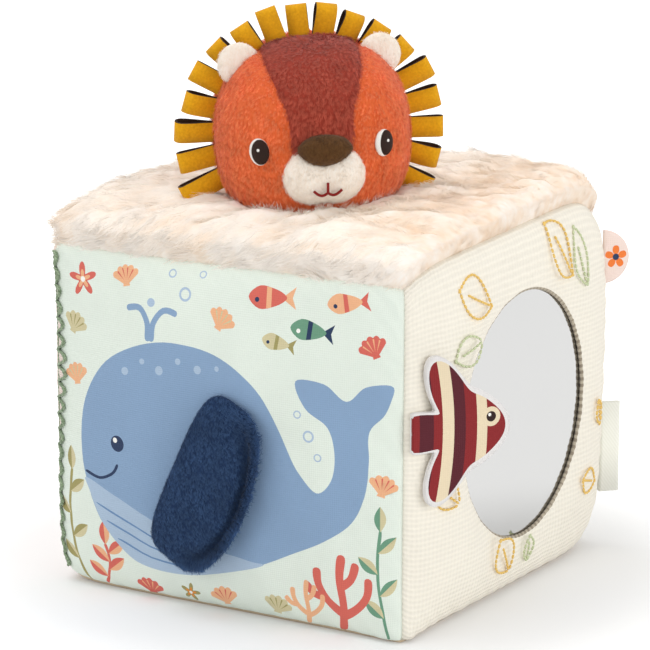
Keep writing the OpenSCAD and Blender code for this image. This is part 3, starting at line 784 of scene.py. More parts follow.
# Each step of the hem: how far its ring is wider than the window, and its share of the way down to the mirror
HEM_STEPS, HEM_PLEAT, HEM_WALL = [(-0.7, 0.25), (-0.9, 0.6), (-0.3, 0.97)], 0.1, 0.6
# The hem is painted darker as the shade under the lip, and one side of each gather darker still as the shade in
# its fold
HEM_SHADE, NOTCH_SHADE, NOTCH_FROM = colour("#b9ae9a"), colour("#978b7a"), 0.5
ring_angles = np.linspace(0, math.tau, RING_STEPS, endpoint=False)
unit_ring = np.stack([np.cos(ring_angles), np.sin(ring_angles)], 1)
window_middle = Vector((WINDOW_AT[0], MID_Z + WINDOW_AT[1]))
lip_rings = [WINDOW_AT + unit_ring * (WINDOW_R + extra) for extra in LIP_RINGS]
away = np.linalg.norm(PANEL_FILL - WINDOW_AT, axis=1)
window_fill = np.concatenate([PANEL_FILL[away > WINDOW_R + LIP_ROOM], *lip_rings])
bm = cut_cloth(PANEL_EDGE, "#f4eee0", [], window_fill, WINDOW_AT + unit_ring * WINDOW_R)
hole_edge = [e for e in bm.edges
             if e.is_boundary and (e.verts[0].co.xy - Vector(WINDOW_AT)).length < WINDOW_R + 1]
move_points(bm, on_window_side)
ink_and_shade_layer = bm.loops.layers.float_color["ink"]
for wider, share in HEM_STEPS:
    grown = bmesh.ops.extrude_edge_only(bm, edges=hole_edge)["geom"]
    hole_edge = [g for g in grown if isinstance(g, bmesh.types.BMEdge) and g.is_boundary]
    # Painted shade on the hem's faces, written into the cloth's ink colours
    for face in (g for g in grown if isinstance(g, bmesh.types.BMFace)):
        spoke = face.calc_center_median().yz - window_middle
        folded = math.sin(GATHERS * math.atan2(spoke.y, spoke.x)) > NOTCH_FROM
        for loop in face.loops:
            loop[ink_and_shade_layer] = NOTCH_SHADE if folded else HEM_SHADE
    for vert in {v for e in hole_edge for v in e.verts}:
        spoke = vert.co.yz - window_middle
        pleat = HEM_PLEAT * math.sin(GATHERS * math.atan2(spoke.y, spoke.x))
        lip_x = on_window_side(np.array([WINDOW_AT + np.array(spoke.normalized()) * WINDOW_R]))[0][0]
        ring = window_middle + spoke.normalized() * (WINDOW_R + wider + pleat * share)
        vert.co = (lip_x + (MIRROR_X - lip_x) * share, *ring)
bmesh.ops.recalc_face_normals(bm, faces=bm.faces)
right = to_piece("mirror_panel_cloth", bm, "cube", [waffle_cotton], ["right_panel"],
                 HEM_WALL)

# %% [markdown]
# ## Mirror
#
# A baby's mirror is a polished plastic film on a board. It reflects clearly but is never quite flat, so the
# image is a little soft and wavy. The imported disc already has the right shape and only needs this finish.

# %% Mirror finish
mirror_film, tree, shader = new_finish("silvered_acrylic_film", {"Base Color": colour("#bfbfbe"),
                                                                "Metallic": 1.0, "Roughness": 0.09})
place = add(tree, "TexCoord").outputs["Object"]
waves = add(tree, "TexNoise", {"Vector": place, "Scale": grains(30), "Detail": 1.0})
wavy = add(tree, "Bump", {"Height": waves.outputs["Fac"], "Strength": 0.25, "Distance": 0.4 * MM})
tree.links.new(wavy.outputs[0], shader.inputs["Normal"])

# Pressed paper board: matt, with short fibres of two tans
fibres = ("TexNoise", {"Scale": grains(1.2), "Detail": 4.0}, {})
board = two_tone("pressed_paper_board", {"Roughness": 0.9}, fibres, colour("#a99877"), colour("#c9ba9d"))
for node, finish in (("mirror_disc", mirror_film), ("mirror_backing", board)):
    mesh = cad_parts[node].data
    mesh.materials.clear()
    mesh.materials.append(finish)

# %% [markdown]
# ## Threads
#
# Stitches draw leaves on the mirror panel. Each stitch is a short plump capsule, half sunk into the cloth,
# so a small stretched sphere with few faces is copied along every line. Each just overlaps the last, as in
# back stitch, where the needle goes in again at the end of the stitch before.

# %% Thread finishes
THREAD_SHADE = 0.84


def thread_finish(name, code):
    """Mercerised cotton thread: a soft shine from its twisted fibres."""
    twist = ("TexWave", {"Scale": bands(0.5), "Distortion": 2.0}, {"bands_direction": "DIAGONAL"})
    # Painted shade: the twist's low bands are darker by THREAD_SHADE, as shade between the plies
    dark = [c * THREAD_SHADE for c in colour(code)[:3]] + [1.0]
    return two_tone(name, {"Roughness": 0.6, "Specular IOR Level": 0.15}, twist, dark, colour(code), 0.5, 0.1)


mustard_thread = thread_finish("mustard_cotton_thread", "#f9d27a")
green_thread = thread_finish("pale_green_cotton_thread", "#d9e2b9")
dark_thread = thread_finish("dark_brown_satin_thread", "#2c1b14")
white_thread = thread_finish("white_satin_thread", "#f7f4ee")
red_thread = thread_finish("deep_red_thread", "#8e2320")
print("threads:", [finish.name for finish in bpy.data.materials if finish.name.endswith("thread")])

# %% Stitched leaves
STITCH, STITCH_LAP, STITCH_R, STITCH_LIFT = 2.2, 0.1, 0.5, 0.1
STITCHED_HALF, STITCHED_WIDE, VEIN_FROM = 10, 6.2, -4


def add_ball(bm, place, finish_index, segments, rings):
    """Adds a ball of radius 1 put in its place by a matrix, in one of the piece's finishes."""
    made = bmesh.ops.create_uvsphere(bm, u_segments=segments, v_segments=rings, radius=1.0, matrix=place)
    for face in {f for v in made["verts"] for f in v.link_faces}:
        face.material_index = finish_index


def sew(bm, path, finish_index=0):
    """Adds stitches along a line of points on a surface."""
    path = [Vector(p) for p in path]
    size = Matrix.Diagonal((STITCH / 2, STITCH_R, STITCH_R, 1))
    walked = 0.0
    for start, end in zip(path, path[1:]):
        length = (end - start).length
        turn = (end - start).to_track_quat("X", "Z").to_matrix().to_4x4()
        while walked < length:
            middle = start.lerp(end, walked / length)
            add_ball(bm, Matrix.Translation(middle) @ turn @ size, finish_index, 6, 4)
            walked += STITCH - STITCH_LAP
        walked -= length


# Across the panel, height, turn in degrees, size and thread of each leaf
STITCHED = [(-36, 119, -20, 1.0, 0), (-44, 102.5, 15, 0.85, 1), (-57.5, 52.5, -35, 0.85, 0),
            (-15, 19, -50, 1.0, 0), (5.5, 16.5, -75, 0.55, 1), (55, 31, 165, 0.8, 0), (62, 57, 110, 0.55, 0),
            (29, 123, -45, 1.05, 0), (45.5, 118, -70, 0.9, 1)]
arc = np.linspace(-1, 1, 14)
upper = np.stack([arc * STITCHED_HALF, (1 - arc ** 2) * STITCHED_WIDE], 1)
vein = np.stack([np.linspace(VEIN_FROM, STITCHED_HALF, 9), np.zeros(9)], 1)
bm = bmesh.new()
for across, height, degrees, size, finish_index in STITCHED:
    for line in (upper, upper * (1, -1), vein):
        flat = placed(line, across, height - MID_Z, degrees, size)
        sew(bm, on_side(flat, RIGHT, STITCH_LIFT), finish_index)
to_piece("stitched_leaves", bm, "cube", [mustard_thread, green_thread])

# %% [markdown]
# ## Crochet trim
#
# A crochet edging lies on the front left seam: one cord runs straight down the edge, and a second swings
# onto the front in small scallops, widest above half height, with pale cloth showing in the gaps. A plain
# tube would be a plastic cord, so two thin plies twist round each line. Each ply is a bevelled curve made
# into a mesh.

# %% Trim path
TRIM_LOW, TRIM_HIGH, SCALLOPS, SCALLOP_POWER = 3.0, 129.0, 20, 0.6
TRIM_NARROW, TRIM_WIDE, TRIM_WIDEST_Z, TRIM_SPREAD = 4.0, 4.4, 84.0, 26.0
PLY_TWIST, PLY_PITCH, TRIM_LIFT, TRIM_EDGE, TRIM_STEPS = 0.42, 3.2, 0.7, 0.3, 500


def trim_reach(z):
    """How far the scallops swing onto the front at a height."""
    return TRIM_NARROW + TRIM_WIDE * np.exp(-((z - TRIM_WIDEST_Z) / TRIM_SPREAD) ** 2)


def scallop(z):
    """How far out a scallop is at a height, from 0 at the seam to 1."""
    share = (z - TRIM_LOW) / (TRIM_HIGH - TRIM_LOW)
    return np.abs(np.sin(math.pi * SCALLOPS * share)) ** SCALLOP_POWER


def trim_line(phase, scalloped):
    """One ply of the straight or of the scalloped cord as points down the seam."""
    z = np.linspace(TRIM_LOW, TRIM_HIGH, TRIM_STEPS)
    twist = math.tau * z / PLY_PITCH + phase
    across = -HALF_W + TRIM_EDGE + trim_reach(z) * scallop(z) * scalloped + PLY_TWIST * np.cos(twist)
    return on_side(np.stack([across, z - MID_Z], 1), FRONT, TRIM_LIFT + PLY_TWIST * np.sin(twist))


print("scallops are", round((TRIM_HIGH - TRIM_LOW) / SCALLOPS, 1), "mm tall")

# %% Trim yarn
PLY_R = 0.48


def tube_mesh(lines, radius, sides=2):
    """A bmesh of round tubes along lines of points in millimetres."""
    data = bpy.data.curves.new("line", "CURVE")
    data.dimensions = "3D"
    data.bevel_depth = radius
    data.bevel_resolution = sides
    data.use_fill_caps = True
    for line in lines:
        spline = data.splines.new("POLY")
        spline.points.add(len(line) - 1)
        for point, place in zip(spline.points, line):
            point.co = (*place, 1)
    holder = bpy.data.objects.new("line", data)
    mesh = bpy.data.meshes.new_from_object(holder)
    bm = bmesh.new()
    bm.from_mesh(mesh)
    bmesh.ops.remove_doubles(bm, verts=bm.verts, dist=MERGE_GAP)
    bpy.data.objects.remove(holder)
    bpy.data.curves.remove(data)
    bpy.data.meshes.remove(mesh)
    return bm


# Soft cotton yarn: matt and fluffy, with painted shade between its fibres and painted light on them
yarn, tree, shader = new_finish("sage_cotton_yarn", {"Roughness": 0.9, "Sheen Weight": 0.4})
place = add(tree, "TexCoord").outputs["Object"]
fluff = add(tree, "TexNoise", {"Vector": place, "Scale": grains(0.8), "Detail": 4.0}).outputs["Fac"]
tones = add(tree, "ValToRGB", {"Fac": fluff})
for element, position, code in zip(tones.color_ramp.elements, (0.3, 0.7), ("#63765a", "#a3b795")):
    element.position = position
    element.color = colour(code)
relief = add(tree, "Bump", {"Height": fluff, "Strength": 0.8, "Distance": 0.25 * MM})
tree.links.new(tones.outputs[0], shader.inputs["Base Color"])
tree.links.new(relief.outputs[0], shader.inputs["Normal"])
plies = [trim_line(phase, scalloped) for phase in (0.0, math.pi) for scalloped in (False, True)]
to_piece("crochet_trim", tube_mesh(plies, PLY_R), "cube", [yarn], ["edge_trim"])

# %% Seam tape behind the yarn
TAPE_LIFT, TAPE_WALL = 0.35, 0.5


def on_tape(flat):
    """Places from -1 to 1 as places on the tape, a strip as wide as the scallops."""
    z = TRIM_LOW + (TRIM_HIGH - TRIM_LOW) * (flat[:, 1] + 1) / 2
    across = -HALF_W + (trim_reach(z) * scallop(z) + TRIM_EDGE) * (flat[:, 0] + 1) / 2
    return on_side(np.stack([across, z - MID_Z], 1), FRONT, TAPE_LIFT)


# Woven cotton tape: matt, with threads of 0.9 mm across it, drawn coarse enough to show
threads = ("TexWave", {"Scale": bands(0.9), "Distortion": 0.6}, {"bands_direction": "Z"})
tape_cotton = two_tone("pale_pink_seam_tape", {"Roughness": 0.9, "Sheen Weight": 0.2}, threads,
                       colour("#ead3c8"), colour("#f8ebe3"), 0.4, 0.2)
bm = bmesh.new()
bmesh.ops.create_grid(bm, x_segments=4, y_segments=300, size=1.0)
move_points(bm, on_tape)
to_piece("trim_seam_tape", bm, "cube", [tape_cotton], wall=TAPE_WALL)

# %% [markdown]
# ## Pile: fur and plush
#
# Fur and plush are cloth with standing fibres, and their soft outline can't come from a bump. A few small
# tufts are modelled once, each strand extruded from a short edge, and thousands of copies are set on the
# cloth. Each copy is turned to lie along the stroke of the pile, and remembers how far along its strand a
# point is and a tone of its own, so that the finish can paint shade at the roots.

# %% Tufts
STRAND_TURN, STRAND_LENGTHS, STRAND_LEAN, STRAND_VEER = 0.4, (0.7, 1.15), 0.13, 0.22
STRAND_TAPER, TIP_TAPER, TUFT_GATHER = 0.85, 0.35, 0.5


def extend(bm, edge, step):
    """Extrudes an edge by a step and gives the new edge with its two ends."""
    grown = bmesh.ops.extrude_edge_only(bm, edges=[edge])["geom"]
    ends = [g for g in grown if isinstance(g, bmesh.types.BMVert)]
    bmesh.ops.translate(bm, verts=ends, vec=step)
    return next(g for g in grown if isinstance(g, bmesh.types.BMEdge) and set(g.verts) == set(ends)), ends


def tuft(seed, strands, length, spread, width, leans, segments):
    """One small tuft as points, quads and how far along its strand each point is."""
    rng = np.random.default_rng(seed)
    bm = bmesh.new()
    along = bm.verts.layers.float.new("along")
    for _ in range(strands):
        root = Vector((*rng.normal(0, spread, 2), 0))
        facing = math.pi / 2 + rng.normal(0, STRAND_TURN)
        half = Vector((math.cos(facing), math.sin(facing), 0)) * width / 2
        reach = length * rng.uniform(*STRAND_LENGTHS)
        lean, veer = rng.normal(0, STRAND_LEAN), rng.normal(0, STRAND_VEER)
        edge = bm.edges.new([bm.verts.new(root - half), bm.verts.new(root + half)])
        for step in range(segments):
            angle = leans[0] + (leans[1] - leans[0]) * (step + 0.5) / segments + lean
            way = Vector((math.sin(angle), veer * math.sin(angle), math.cos(angle)))
            edge, ends = extend(bm, edge, (way * reach - root * TUFT_GATHER) / segments)
            middle = (ends[0].co + ends[1].co) / 2
            for vert in ends:
                vert.co = middle.lerp(vert.co, TIP_TAPER if step == segments - 1 else STRAND_TAPER)
                vert[along] = (step + 1) / segments
    bm.normal_update()
    bmesh.ops.reverse_faces(bm, faces=[f for f in bm.faces if f.normal.z < 0])
    points = np.array([v.co for v in bm.verts])
    shares = np.array([v[along] for v in bm.verts])
    bm.verts.index_update()
    quads = np.array([[v.index for v in f.verts] for f in bm.faces])
    bm.free()
    return points, quads, shares


# Seed, strands, length, spread, strand width, lean at the root and at the tip, and segments of each tuft
fur_tufts = [tuft(seed, 10, 4.4, 1.4, 0.2, (1.0, 1.5), 2) for seed in range(4)]
nap_tufts = [tuft(10 + seed, 10, 1.9, 0.46, 0.12, (0.7, 1.4), 2) for seed in range(3)]
plush_tufts = [tuft(10 + seed, 10, 1.35, 0.8, 0.1, (0.5, 1.35), 2) for seed in range(3)]
print("one fur tuft has", len(fur_tufts[0][1]), "faces and one plush tuft", len(plush_tufts[0][1]))


# %% Roots of the pile
def roots_on(piece, count, seed, choose=None):
    """Random places and normals on a piece's faces, spread evenly by area."""
    mesh = piece.data
    mesh.calc_loop_triangles()
    # A sphere's faces come in another order each time, so they are sorted before any is picked
    triangles = sorted(tuple(t.vertices) for t in mesh.loop_triangles
                       if choose is None or choose(mesh.polygons[t.polygon_index]))
    corners = np.array([[mesh.vertices[k].co for k in triangle] for triangle in triangles])
    normal = np.cross(corners[:, 1] - corners[:, 0], corners[:, 2] - corners[:, 0])
    area = np.linalg.norm(normal, axis=1)
    rng = np.random.default_rng(seed)
    picked = rng.choice(len(area), count, p=area / area.sum())
    a, b = rng.random(count), rng.random(count)
    a, b = np.where(a + b > 1, 1 - a, a), np.where(a + b > 1, 1 - b, b)
    t = corners[picked]
    places = t[:, 0] + a[:, None] * (t[:, 1] - t[:, 0]) + b[:, None] * (t[:, 2] - t[:, 0])
    return places, normal[picked] / area[picked][:, None]


print("lowest of 100 roots on the base:", round(roots_on(base, 100, 1)[0][:, 2].min() / MM, 2), "mm")

# %% Pile on a cloth
RUFFLE = 0.3


def pile(name, tufts, places, normals, strokes, sizes, tones, body, finish, soft_light=False):
    """Copies of the tufts on their places, lying along the strokes, as one piece.

    With soft_light, a tuft is lit as the cloth under it is, with its normal ruffled a little.
    """
    strokes = strokes - normals * (strokes * normals).sum(1)[:, None]
    strokes /= np.linalg.norm(strokes, axis=1)[:, None]
    frames = np.stack([strokes, np.cross(normals, strokes), normals], 2)
    ruffled = normals + np.random.default_rng(len(places)).normal(0, RUFFLE, normals.shape)
    ruffled /= np.linalg.norm(ruffled, axis=1)[:, None]
    co, quads, along, tone, soft = [], [], [], [], []
    total = 0
    for kind, (points, faces, shares) in enumerate(tufts):
        mine = np.arange(kind, len(places), len(tufts))
        made = np.einsum("kij,nj->kni", frames[mine], points) * (sizes[mine] * MM)[:, None, None]
        co.append((made + places[mine][:, None]).reshape(-1, 3))
        starts = total + np.arange(len(mine)) * len(points)
        quads.append((faces[None] + starts[:, None, None]).reshape(-1, 4))
        along.append(np.tile(shares, len(mine)))
        tone.append(np.repeat(tones[mine], len(points)))
        soft.append(np.repeat(ruffled[mine], len(points), 0))
        total += len(mine) * len(points)
    mesh = bpy.data.meshes.new(name)
    quads = np.concatenate(quads).astype(np.int32)
    mesh.vertices.add(total)
    mesh.vertices.foreach_set("co", np.concatenate(co).astype(np.float32).ravel())
    mesh.loops.add(quads.size)
    mesh.loops.foreach_set("vertex_index", quads.ravel())
    mesh.polygons.add(len(quads))
    mesh.polygons.foreach_set("loop_start", np.arange(0, quads.size, 4, dtype=np.int32))
    mesh.update(calc_edges=True)
    for key, values in (("along", along), ("tone", tone)):
        layer = mesh.attributes.new(key, "FLOAT", "POINT")
        layer.data.foreach_set("value", np.concatenate(values).astype(np.float32))
    piece = dress(name, mesh, body, [finish])
    if soft_light:
        mesh.normals_split_custom_set_from_vertices(np.concatenate(soft))
    return piece


print("a tuft's normal is ruffled by", RUFFLE)


# %% Pile finishes
def pile_finish(name, root, tip, roughness, sheen):
    """Synthetic pile: painted shade at the roots, painted light toward the tips."""
    material, tree, shader = new_finish(name, {"Roughness": roughness, "Sheen Weight": sheen,
                                               "Sheen Roughness": 0.4, "Specular IOR Level": 0.2})
    along = add(tree, "Attribute", attribute_name="along").outputs["Fac"]
    tone = add(tree, "Attribute", attribute_name="tone").outputs["Fac"]
    blend = add(tree, "Mix", {0: along, 6: colour(root), 7: colour(tip)}, data_type="RGBA")
    shade = add(tree, "Mix", {0: 1.0, 6: blend.outputs[2], 7: tone}, data_type="RGBA", blend_type="MULTIPLY")
    tree.links.new(shade.outputs[2], shader.inputs["Base Color"])
    return material


def plush_cloth(name, code, dark, sheen=0.25):
    """The dense ground of plush: fine fibres of 0.6 mm and brushed patches, with painted shade where the pile
    parts.
    """
    material, tree, shader = new_finish(name, {"Roughness": 0.95, "Sheen Weight": sheen,
                                               "Sheen Roughness": 0.5, "Specular IOR Level": 0.1})
    place = add(tree, "TexCoord").outputs["Object"]
    combed = add(tree, "Mapping", {"Vector": place, "Scale": (1.0, 1.0, 0.4)}).outputs[0]
    fibres = add(tree, "TexNoise", {"Vector": combed, "Scale": grains(0.6), "Detail": 2.0})
    patches = add(tree, "TexNoise", {"Vector": combed, "Scale": grains(5), "Detail": 3.0})
    parting = add(tree, "Math", {0: patches.outputs["Fac"], 1: 0.5, 2: fibres.outputs["Fac"]},
                  operation="MULTIPLY_ADD")
    depth = add(tree, "MapRange", {"Value": parting.outputs[0], "From Min": 0.5, "From Max": 1.0})
    # Painted shade: the low parts of the relief take the dark colour
    tones = add(tree, "Mix", {0: depth.outputs[0], 6: colour(dark), 7: colour(code)}, data_type="RGBA")
    relief = add(tree, "Bump", {"Height": parting.outputs[0], "Strength": 0.6, "Distance": 0.4 * MM})
    tree.links.new(tones.outputs[2], shader.inputs["Base Color"])
    tree.links.new(relief.outputs[0], shader.inputs["Normal"])
    return material


print("finishes of pile ready")

# %% Strokes and tones
# Each seed reads another part of the noise, so that no two piles have the same patches
STROKE_STEP, STROKE_SHIFT, TONE_STEP = 13.7, (5.1, 2.9), 9.3
SLOW_TONE, ODD_SPOT = 0.6, 0.16


def stroke_noise(places, size, seed):
    """A smooth random direction at each place, which turns over about so many millimetres."""
    shift = Vector((STROKE_STEP * seed, *STROKE_SHIFT))
    return np.array([noise.noise_vector(Vector(p) / (size * MM) + shift) for p in places])


def spotty(places, size, low, high, seed):
    """A tone between low and high at each place: a slow change and a random part."""
    shift = Vector((0, 0, TONE_STEP * seed))
    slow = np.array([noise.noise(Vector(p) / (size * MM) + shift) for p in places])
    odd = np.random.default_rng(seed).normal(0, ODD_SPOT, len(places))
    return low + (high - low) * np.clip(0.5 + SLOW_TONE * slow + odd, 0, 1)


print("one stroke:", stroke_noise(np.zeros((1, 3)), 10, 1)[0].round(2))

# %% [markdown]
# ## Fur top
#
# The top is long-pile faux fur. Its cloth is a low cushion that meets the side panels at their top seams. The
# pile is stroked toward the front left, so it hangs over those two edges and leaves the mirror panel's top
# edge clear. Round the head the pile lies outward, because the head is pressed into it.

# %% Fur shape
PLAN_POWER = 24
# The cushion's profile from its middle to its hem: share of the cloth, half width and height
RIM_SHARES = (0.0, 0.60, 0.76, 0.85, 0.91, 0.95, 1.0)
RIM_HALVES = (0.0, 50.0, 66.0, 73.6, 77.8, 76.8, 73.0)
RIM_HEIGHTS = (147.6, 147.6, 146.4, 143.8, 139.4, 132.6, 121.0)
RIM_FOOT, RIM_SHARE, RIM_RATE = 132.6, 0.96, 8
# Clumps and ripples: height and size, the comb that stretches them along the stroke, and how they drift
CLUMP, CLUMP_SIZE, RIPPLE, RIPPLE_SIZE = 2.8, 10.0, 1.5, 4.0
COMB_ACROSS, COMB_ALONG, DRIFT, DRIFT_SIZE = 1.2, 2.6, 9, 30
BACK_TUCK, TUCK_POWER = 5.5, 6
MIRROR_FROM, MIRROR_SHIFT, SHIFT_POWER, PANEL_FOLLOW, PANEL_SINK = 38, 1.5, 6, 0.45, 3
SIDE_LIFT, SIDE_FROM, BACK_LIFT, BACK_FROM, LIFT_SPAN = 3.0, -0.9, 1.8, 0.2, 0.6
HEAD_AT, HEAD_R, NEST_GAP = Vector((6.0, -26.0, 172.3)), 38.0, 2.0


def fur_relief(x, y, z):
    """How far the fur's clumps and ripples stand up, from about -0.5 to 0.5; they lie along the stroke."""
    combed = np.stack([(x - y) / COMB_ACROSS, (x + y) / COMB_ALONG, z], 1)
    warped = [Vector(p) + noise.noise_vector(Vector(p / DRIFT_SIZE)) * DRIFT for p in combed]
    clumps = np.array([noise.noise(p / CLUMP_SIZE) for p in warped])
    ripples = np.array([noise.noise(p / RIPPLE_SIZE) for p in warped])
    return clumps, ripples


def fur_ground(flat):
    """Flat places from -1 to 1 as places on the fur's cloth, a cushion with soft clumps."""
    u, v = flat[:, 0], flat[:, 1]
    reach = np.maximum(np.maximum(np.abs(u), np.abs(v)), 1e-9)
    round_off = ((np.abs(u) / reach) ** PLAN_POWER + (np.abs(v) / reach) ** PLAN_POWER) ** (1 / PLAN_POWER)
    half = np.interp(reach, RIM_SHARES, RIM_HALVES) / (reach * np.maximum(round_off, 1))
    x, y = half * u, half * v
    z = np.interp(reach, RIM_SHARES, RIM_HEIGHTS)
    inside = smooth_step((RIM_SHARE - reach) * RIM_RATE)
    z = z + inside * (SIDE_LIFT * smooth_step((v - SIDE_FROM) / LIFT_SPAN)
                      + BACK_LIFT * smooth_step((v - BACK_FROM) / LIFT_SPAN))
    toward_mirror = np.clip((x - MIRROR_FROM) / MIRROR_FROM, 0, 1) ** 2
    rise = panel_rise(np.clip(y, -HALF_W, HALF_W), np.full(len(y), HALF_H))
    z = z + toward_mirror * np.clip(rise - PANEL_FOLLOW * (z - RIM_FOOT), -PANEL_SINK, rise)
    clumps, ripples = fur_relief(x, y, z)
    z = z + (CLUMP * clumps + RIPPLE * ripples) * inside
    drop = np.hypot(x - HEAD_AT.x, y - HEAD_AT.y)
    nest = HEAD_AT.z - NEST_GAP - np.sqrt(np.maximum(HEAD_R ** 2 - drop ** 2, 0))
    z = np.where(drop < HEAD_R, np.minimum(z, nest), z)
    tuck = BACK_TUCK * (np.clip(u, 0, 1) * np.clip(v, 0, 1)) ** TUCK_POWER
    shift = MIRROR_SHIFT * toward_mirror * (1 - np.abs(v) ** SHIFT_POWER)
    return np.stack([x - shift - tuck, y - tuck, z - tuck], 1)


print("the fur's cloth is", round(fur_ground(np.array([[0.0, 0.5]]))[0][2], 1), "mm high behind the head")

# %% Fur cloth
FUR_STEPS, FUR_WALL = 150, 1.2
# Tone of the fur: its middle, then what clumps and ripples add as painted shade in the creases and painted
# light on the tufts, what chance adds, and painted shade on the side toward the mirror seam
TONE, CLUMP_TONE, RIPPLE_TONE, ODD_TONE, RIGHT_SHADE_DEPTH = 0.84, 0.5, 0.45, 0.14, 0.5
RIGHT_SHADE_X, RIGHT_SHADE_WIDE, RIGHT_SHADE_Y, RIGHT_SHADE_LONG = 15, 50, -78, 30


def fur_tone(places, seed):
    """How light the fur is at places in millimetres: painted shade in creases and by the mirror seam, painted
    light on tufts.
    """
    clumps, ripples = fur_relief(*places.T)
    odd = np.random.default_rng(seed).normal(0, ODD_TONE, len(places))
    right_side_shade = smooth_step((places[:, 0] - RIGHT_SHADE_X) / RIGHT_SHADE_WIDE)
    right_side_shade = RIGHT_SHADE_DEPTH * right_side_shade * smooth_step((places[:, 1] - RIGHT_SHADE_Y) / RIGHT_SHADE_LONG)
    return np.clip(TONE + CLUMP_TONE * clumps + RIPPLE_TONE * ripples + odd - right_side_shade, 0, 1)


# Brushed polyester fur: matt, with painted warm shade where the tufts part and a painted pale highlight on
# their backs
fur_finish, tree, shader = new_finish("brushed_polyester_fur", {"Roughness": 0.95, "Sheen Weight": 0.15,
                                                               "Sheen Roughness": 0.5,
                                                               "Specular IOR Level": 0.1})
tone = add(tree, "Attribute", attribute_name="tone").outputs["Fac"]
fur_shade = add(tree, "Mix", {0: tone, 6: colour("#f6e4d0"), 7: colour("#fdf6ee")}, data_type="RGBA")
tree.links.new(fur_shade.outputs[2], shader.inputs["Base Color"])
bm = bmesh.new()
bmesh.ops.create_grid(bm, x_segments=FUR_STEPS, y_segments=FUR_STEPS, size=1.0)
move_points(bm, fur_ground)
tone_layer = bm.verts.layers.float.new("tone")
for vert, light in zip(bm.verts, fur_tone(np.array([v.co for v in bm.verts]), 4)):
    vert[tone_layer] = light
fur_cloth = to_piece("fur_cloth", bm, "cube", [fur_finish], ["fur_top"], FUR_WALL)

# %% Fur pile
FUR_COUNT, FUR_SIZES, FUR_STROKE = 12000, (0.75, 1.15), np.array((-0.62, -0.72, -0.30))
# Broad locks and fine ones turn the stroke: by how much, and over how many millimetres
LOCK, LOCK_SIZE, FINE_LOCK, FINE_LOCK_SIZE = 0.6, 22, 0.4, 7
# Round the head the pile is parted outward and shorter, and right under it there is none
HEAD_CLEAR, PARTED_R, PARTED_FADE, PARTED, PARTED_SHORT = 27.0, 46, 12, 1.6, 0.4
# Beside the mirror seam it is trimmed, and at the hem it hangs in longer and shorter wisps
TRIMMED_X, TRIMMED_FADE, TRIMMED_SHORT = 58, 16, 0.5
HEM_TOP, HEM_FADE, WISP_SIZE, WISP, WISP_LESS, WISP_LIMITS = 138, 6, 7, 1.4, 0.3, (-0.45, 0.6)

places, normals = roots_on(fur_cloth, FUR_COUNT, 21)
from_head = places - np.array(HEAD_AT) * MM
from_head[:, 2] = 0
gap = np.linalg.norm(from_head, axis=1) / MM
away = from_head / np.maximum(gap[:, None] * MM, 1e-6)
stroke = FUR_STROKE + LOCK * stroke_noise(places, LOCK_SIZE, 1)
stroke = stroke + FINE_LOCK * stroke_noise(places, FINE_LOCK_SIZE, 2)
near_head = np.clip((PARTED_R - gap) / PARTED_FADE, 0, 1)
stroke = stroke * (1 - near_head[:, None]) + near_head[:, None] * PARTED * away
beside_seam = np.clip((places[:, 0] / MM - TRIMMED_X) / TRIMMED_FADE, 0, 1)
sizes = np.random.default_rng(5).uniform(*FUR_SIZES, FUR_COUNT)
sizes *= (1 - TRIMMED_SHORT * beside_seam) * (1 - PARTED_SHORT * near_head)
wisps = np.array([noise.noise(Vector(p) / (WISP_SIZE * MM)) for p in places])
at_hem = np.clip((HEM_TOP - places[:, 2] / MM) / HEM_FADE, 0, 1) * (1 - beside_seam)
sizes *= 1 + at_hem * np.clip(WISP * wisps - WISP_LESS, *WISP_LIMITS)
# The pile takes the same painted shade and painted light as its cloth
tones = fur_tone(places / MM, 3)
quarter = (places[:, 0] > 0) * 2 + (places[:, 1] > 0)
for part, part_name in enumerate(("front_left", "back_left", "front_right", "back_right")):
    mine = (quarter == part) & (gap > HEAD_CLEAR)
    fur_pile = pile("fur_pile_" + part_name, fur_tufts, places[mine], normals[mine], stroke[mine],
                    sizes[mine], tones[mine], "cube", fur_finish, True)
    # Polyester fibres let light through, so the loose pile throws no shadow of its own
    fur_pile.visible_shadow = False

# %% [markdown]
# ## The lion's head
#
# The head is a stuffed plush ball: two orange sides, a russet gusset from the crown to the nose, and an
# orange back. A sphere whose poles point sideways has rings that can be slid until one of them runs along
# each gusset seam, so the colours meet on real edges, and the cloth dips into the seams there.

# %% Head shape
FACE_DEPTH, NAPE_DEPTH, HEAD_YAW, HEAD_ROLL = 35.0, 31.0, math.radians(40), math.radians(-3)
PLUSH_UNDER, SQUARE_POWER = 1.9, 2.35
# The gusset's half width at each height
GUSSET_HEIGHTS, GUSSET_HALVES = (-14.5, -1, 13.3, 26.6, 42), (9.2, 11.5, 12.65, 17.2, 20)
FIRST_ANGLE, ROUNDS = 0.4, 8


def gusset_angle(turn):
    """Angle of the gusset seam from the middle plane, at a turn round the head from the nose up.

    The width depends on the height and the height on the angle, so a few rounds settle both.
    """
    angle = FIRST_ANGLE
    for _ in range(ROUNDS):
        height = HEAD_R * math.cos(angle) * math.sin(min(turn, math.pi / 2))
        angle = math.asin(np.interp(height, GUSSET_HEIGHTS, GUSSET_HALVES) / HEAD_R)
    return angle


def head_point(way, lift=0.0):
    """A direction from the head centre as a place on the plush cloth, a ball that is a little square."""
    depth = FACE_DEPTH if way.y < 0 else NAPE_DEPTH
    square = sum(abs(part) ** SQUARE_POWER for part in way) ** (-1 / SQUARE_POWER)
    under = lift - PLUSH_UNDER
    return Vector(((HEAD_R + under) * way.x, (depth + under) * way.y, (HEAD_R + under) * way.z)) * square


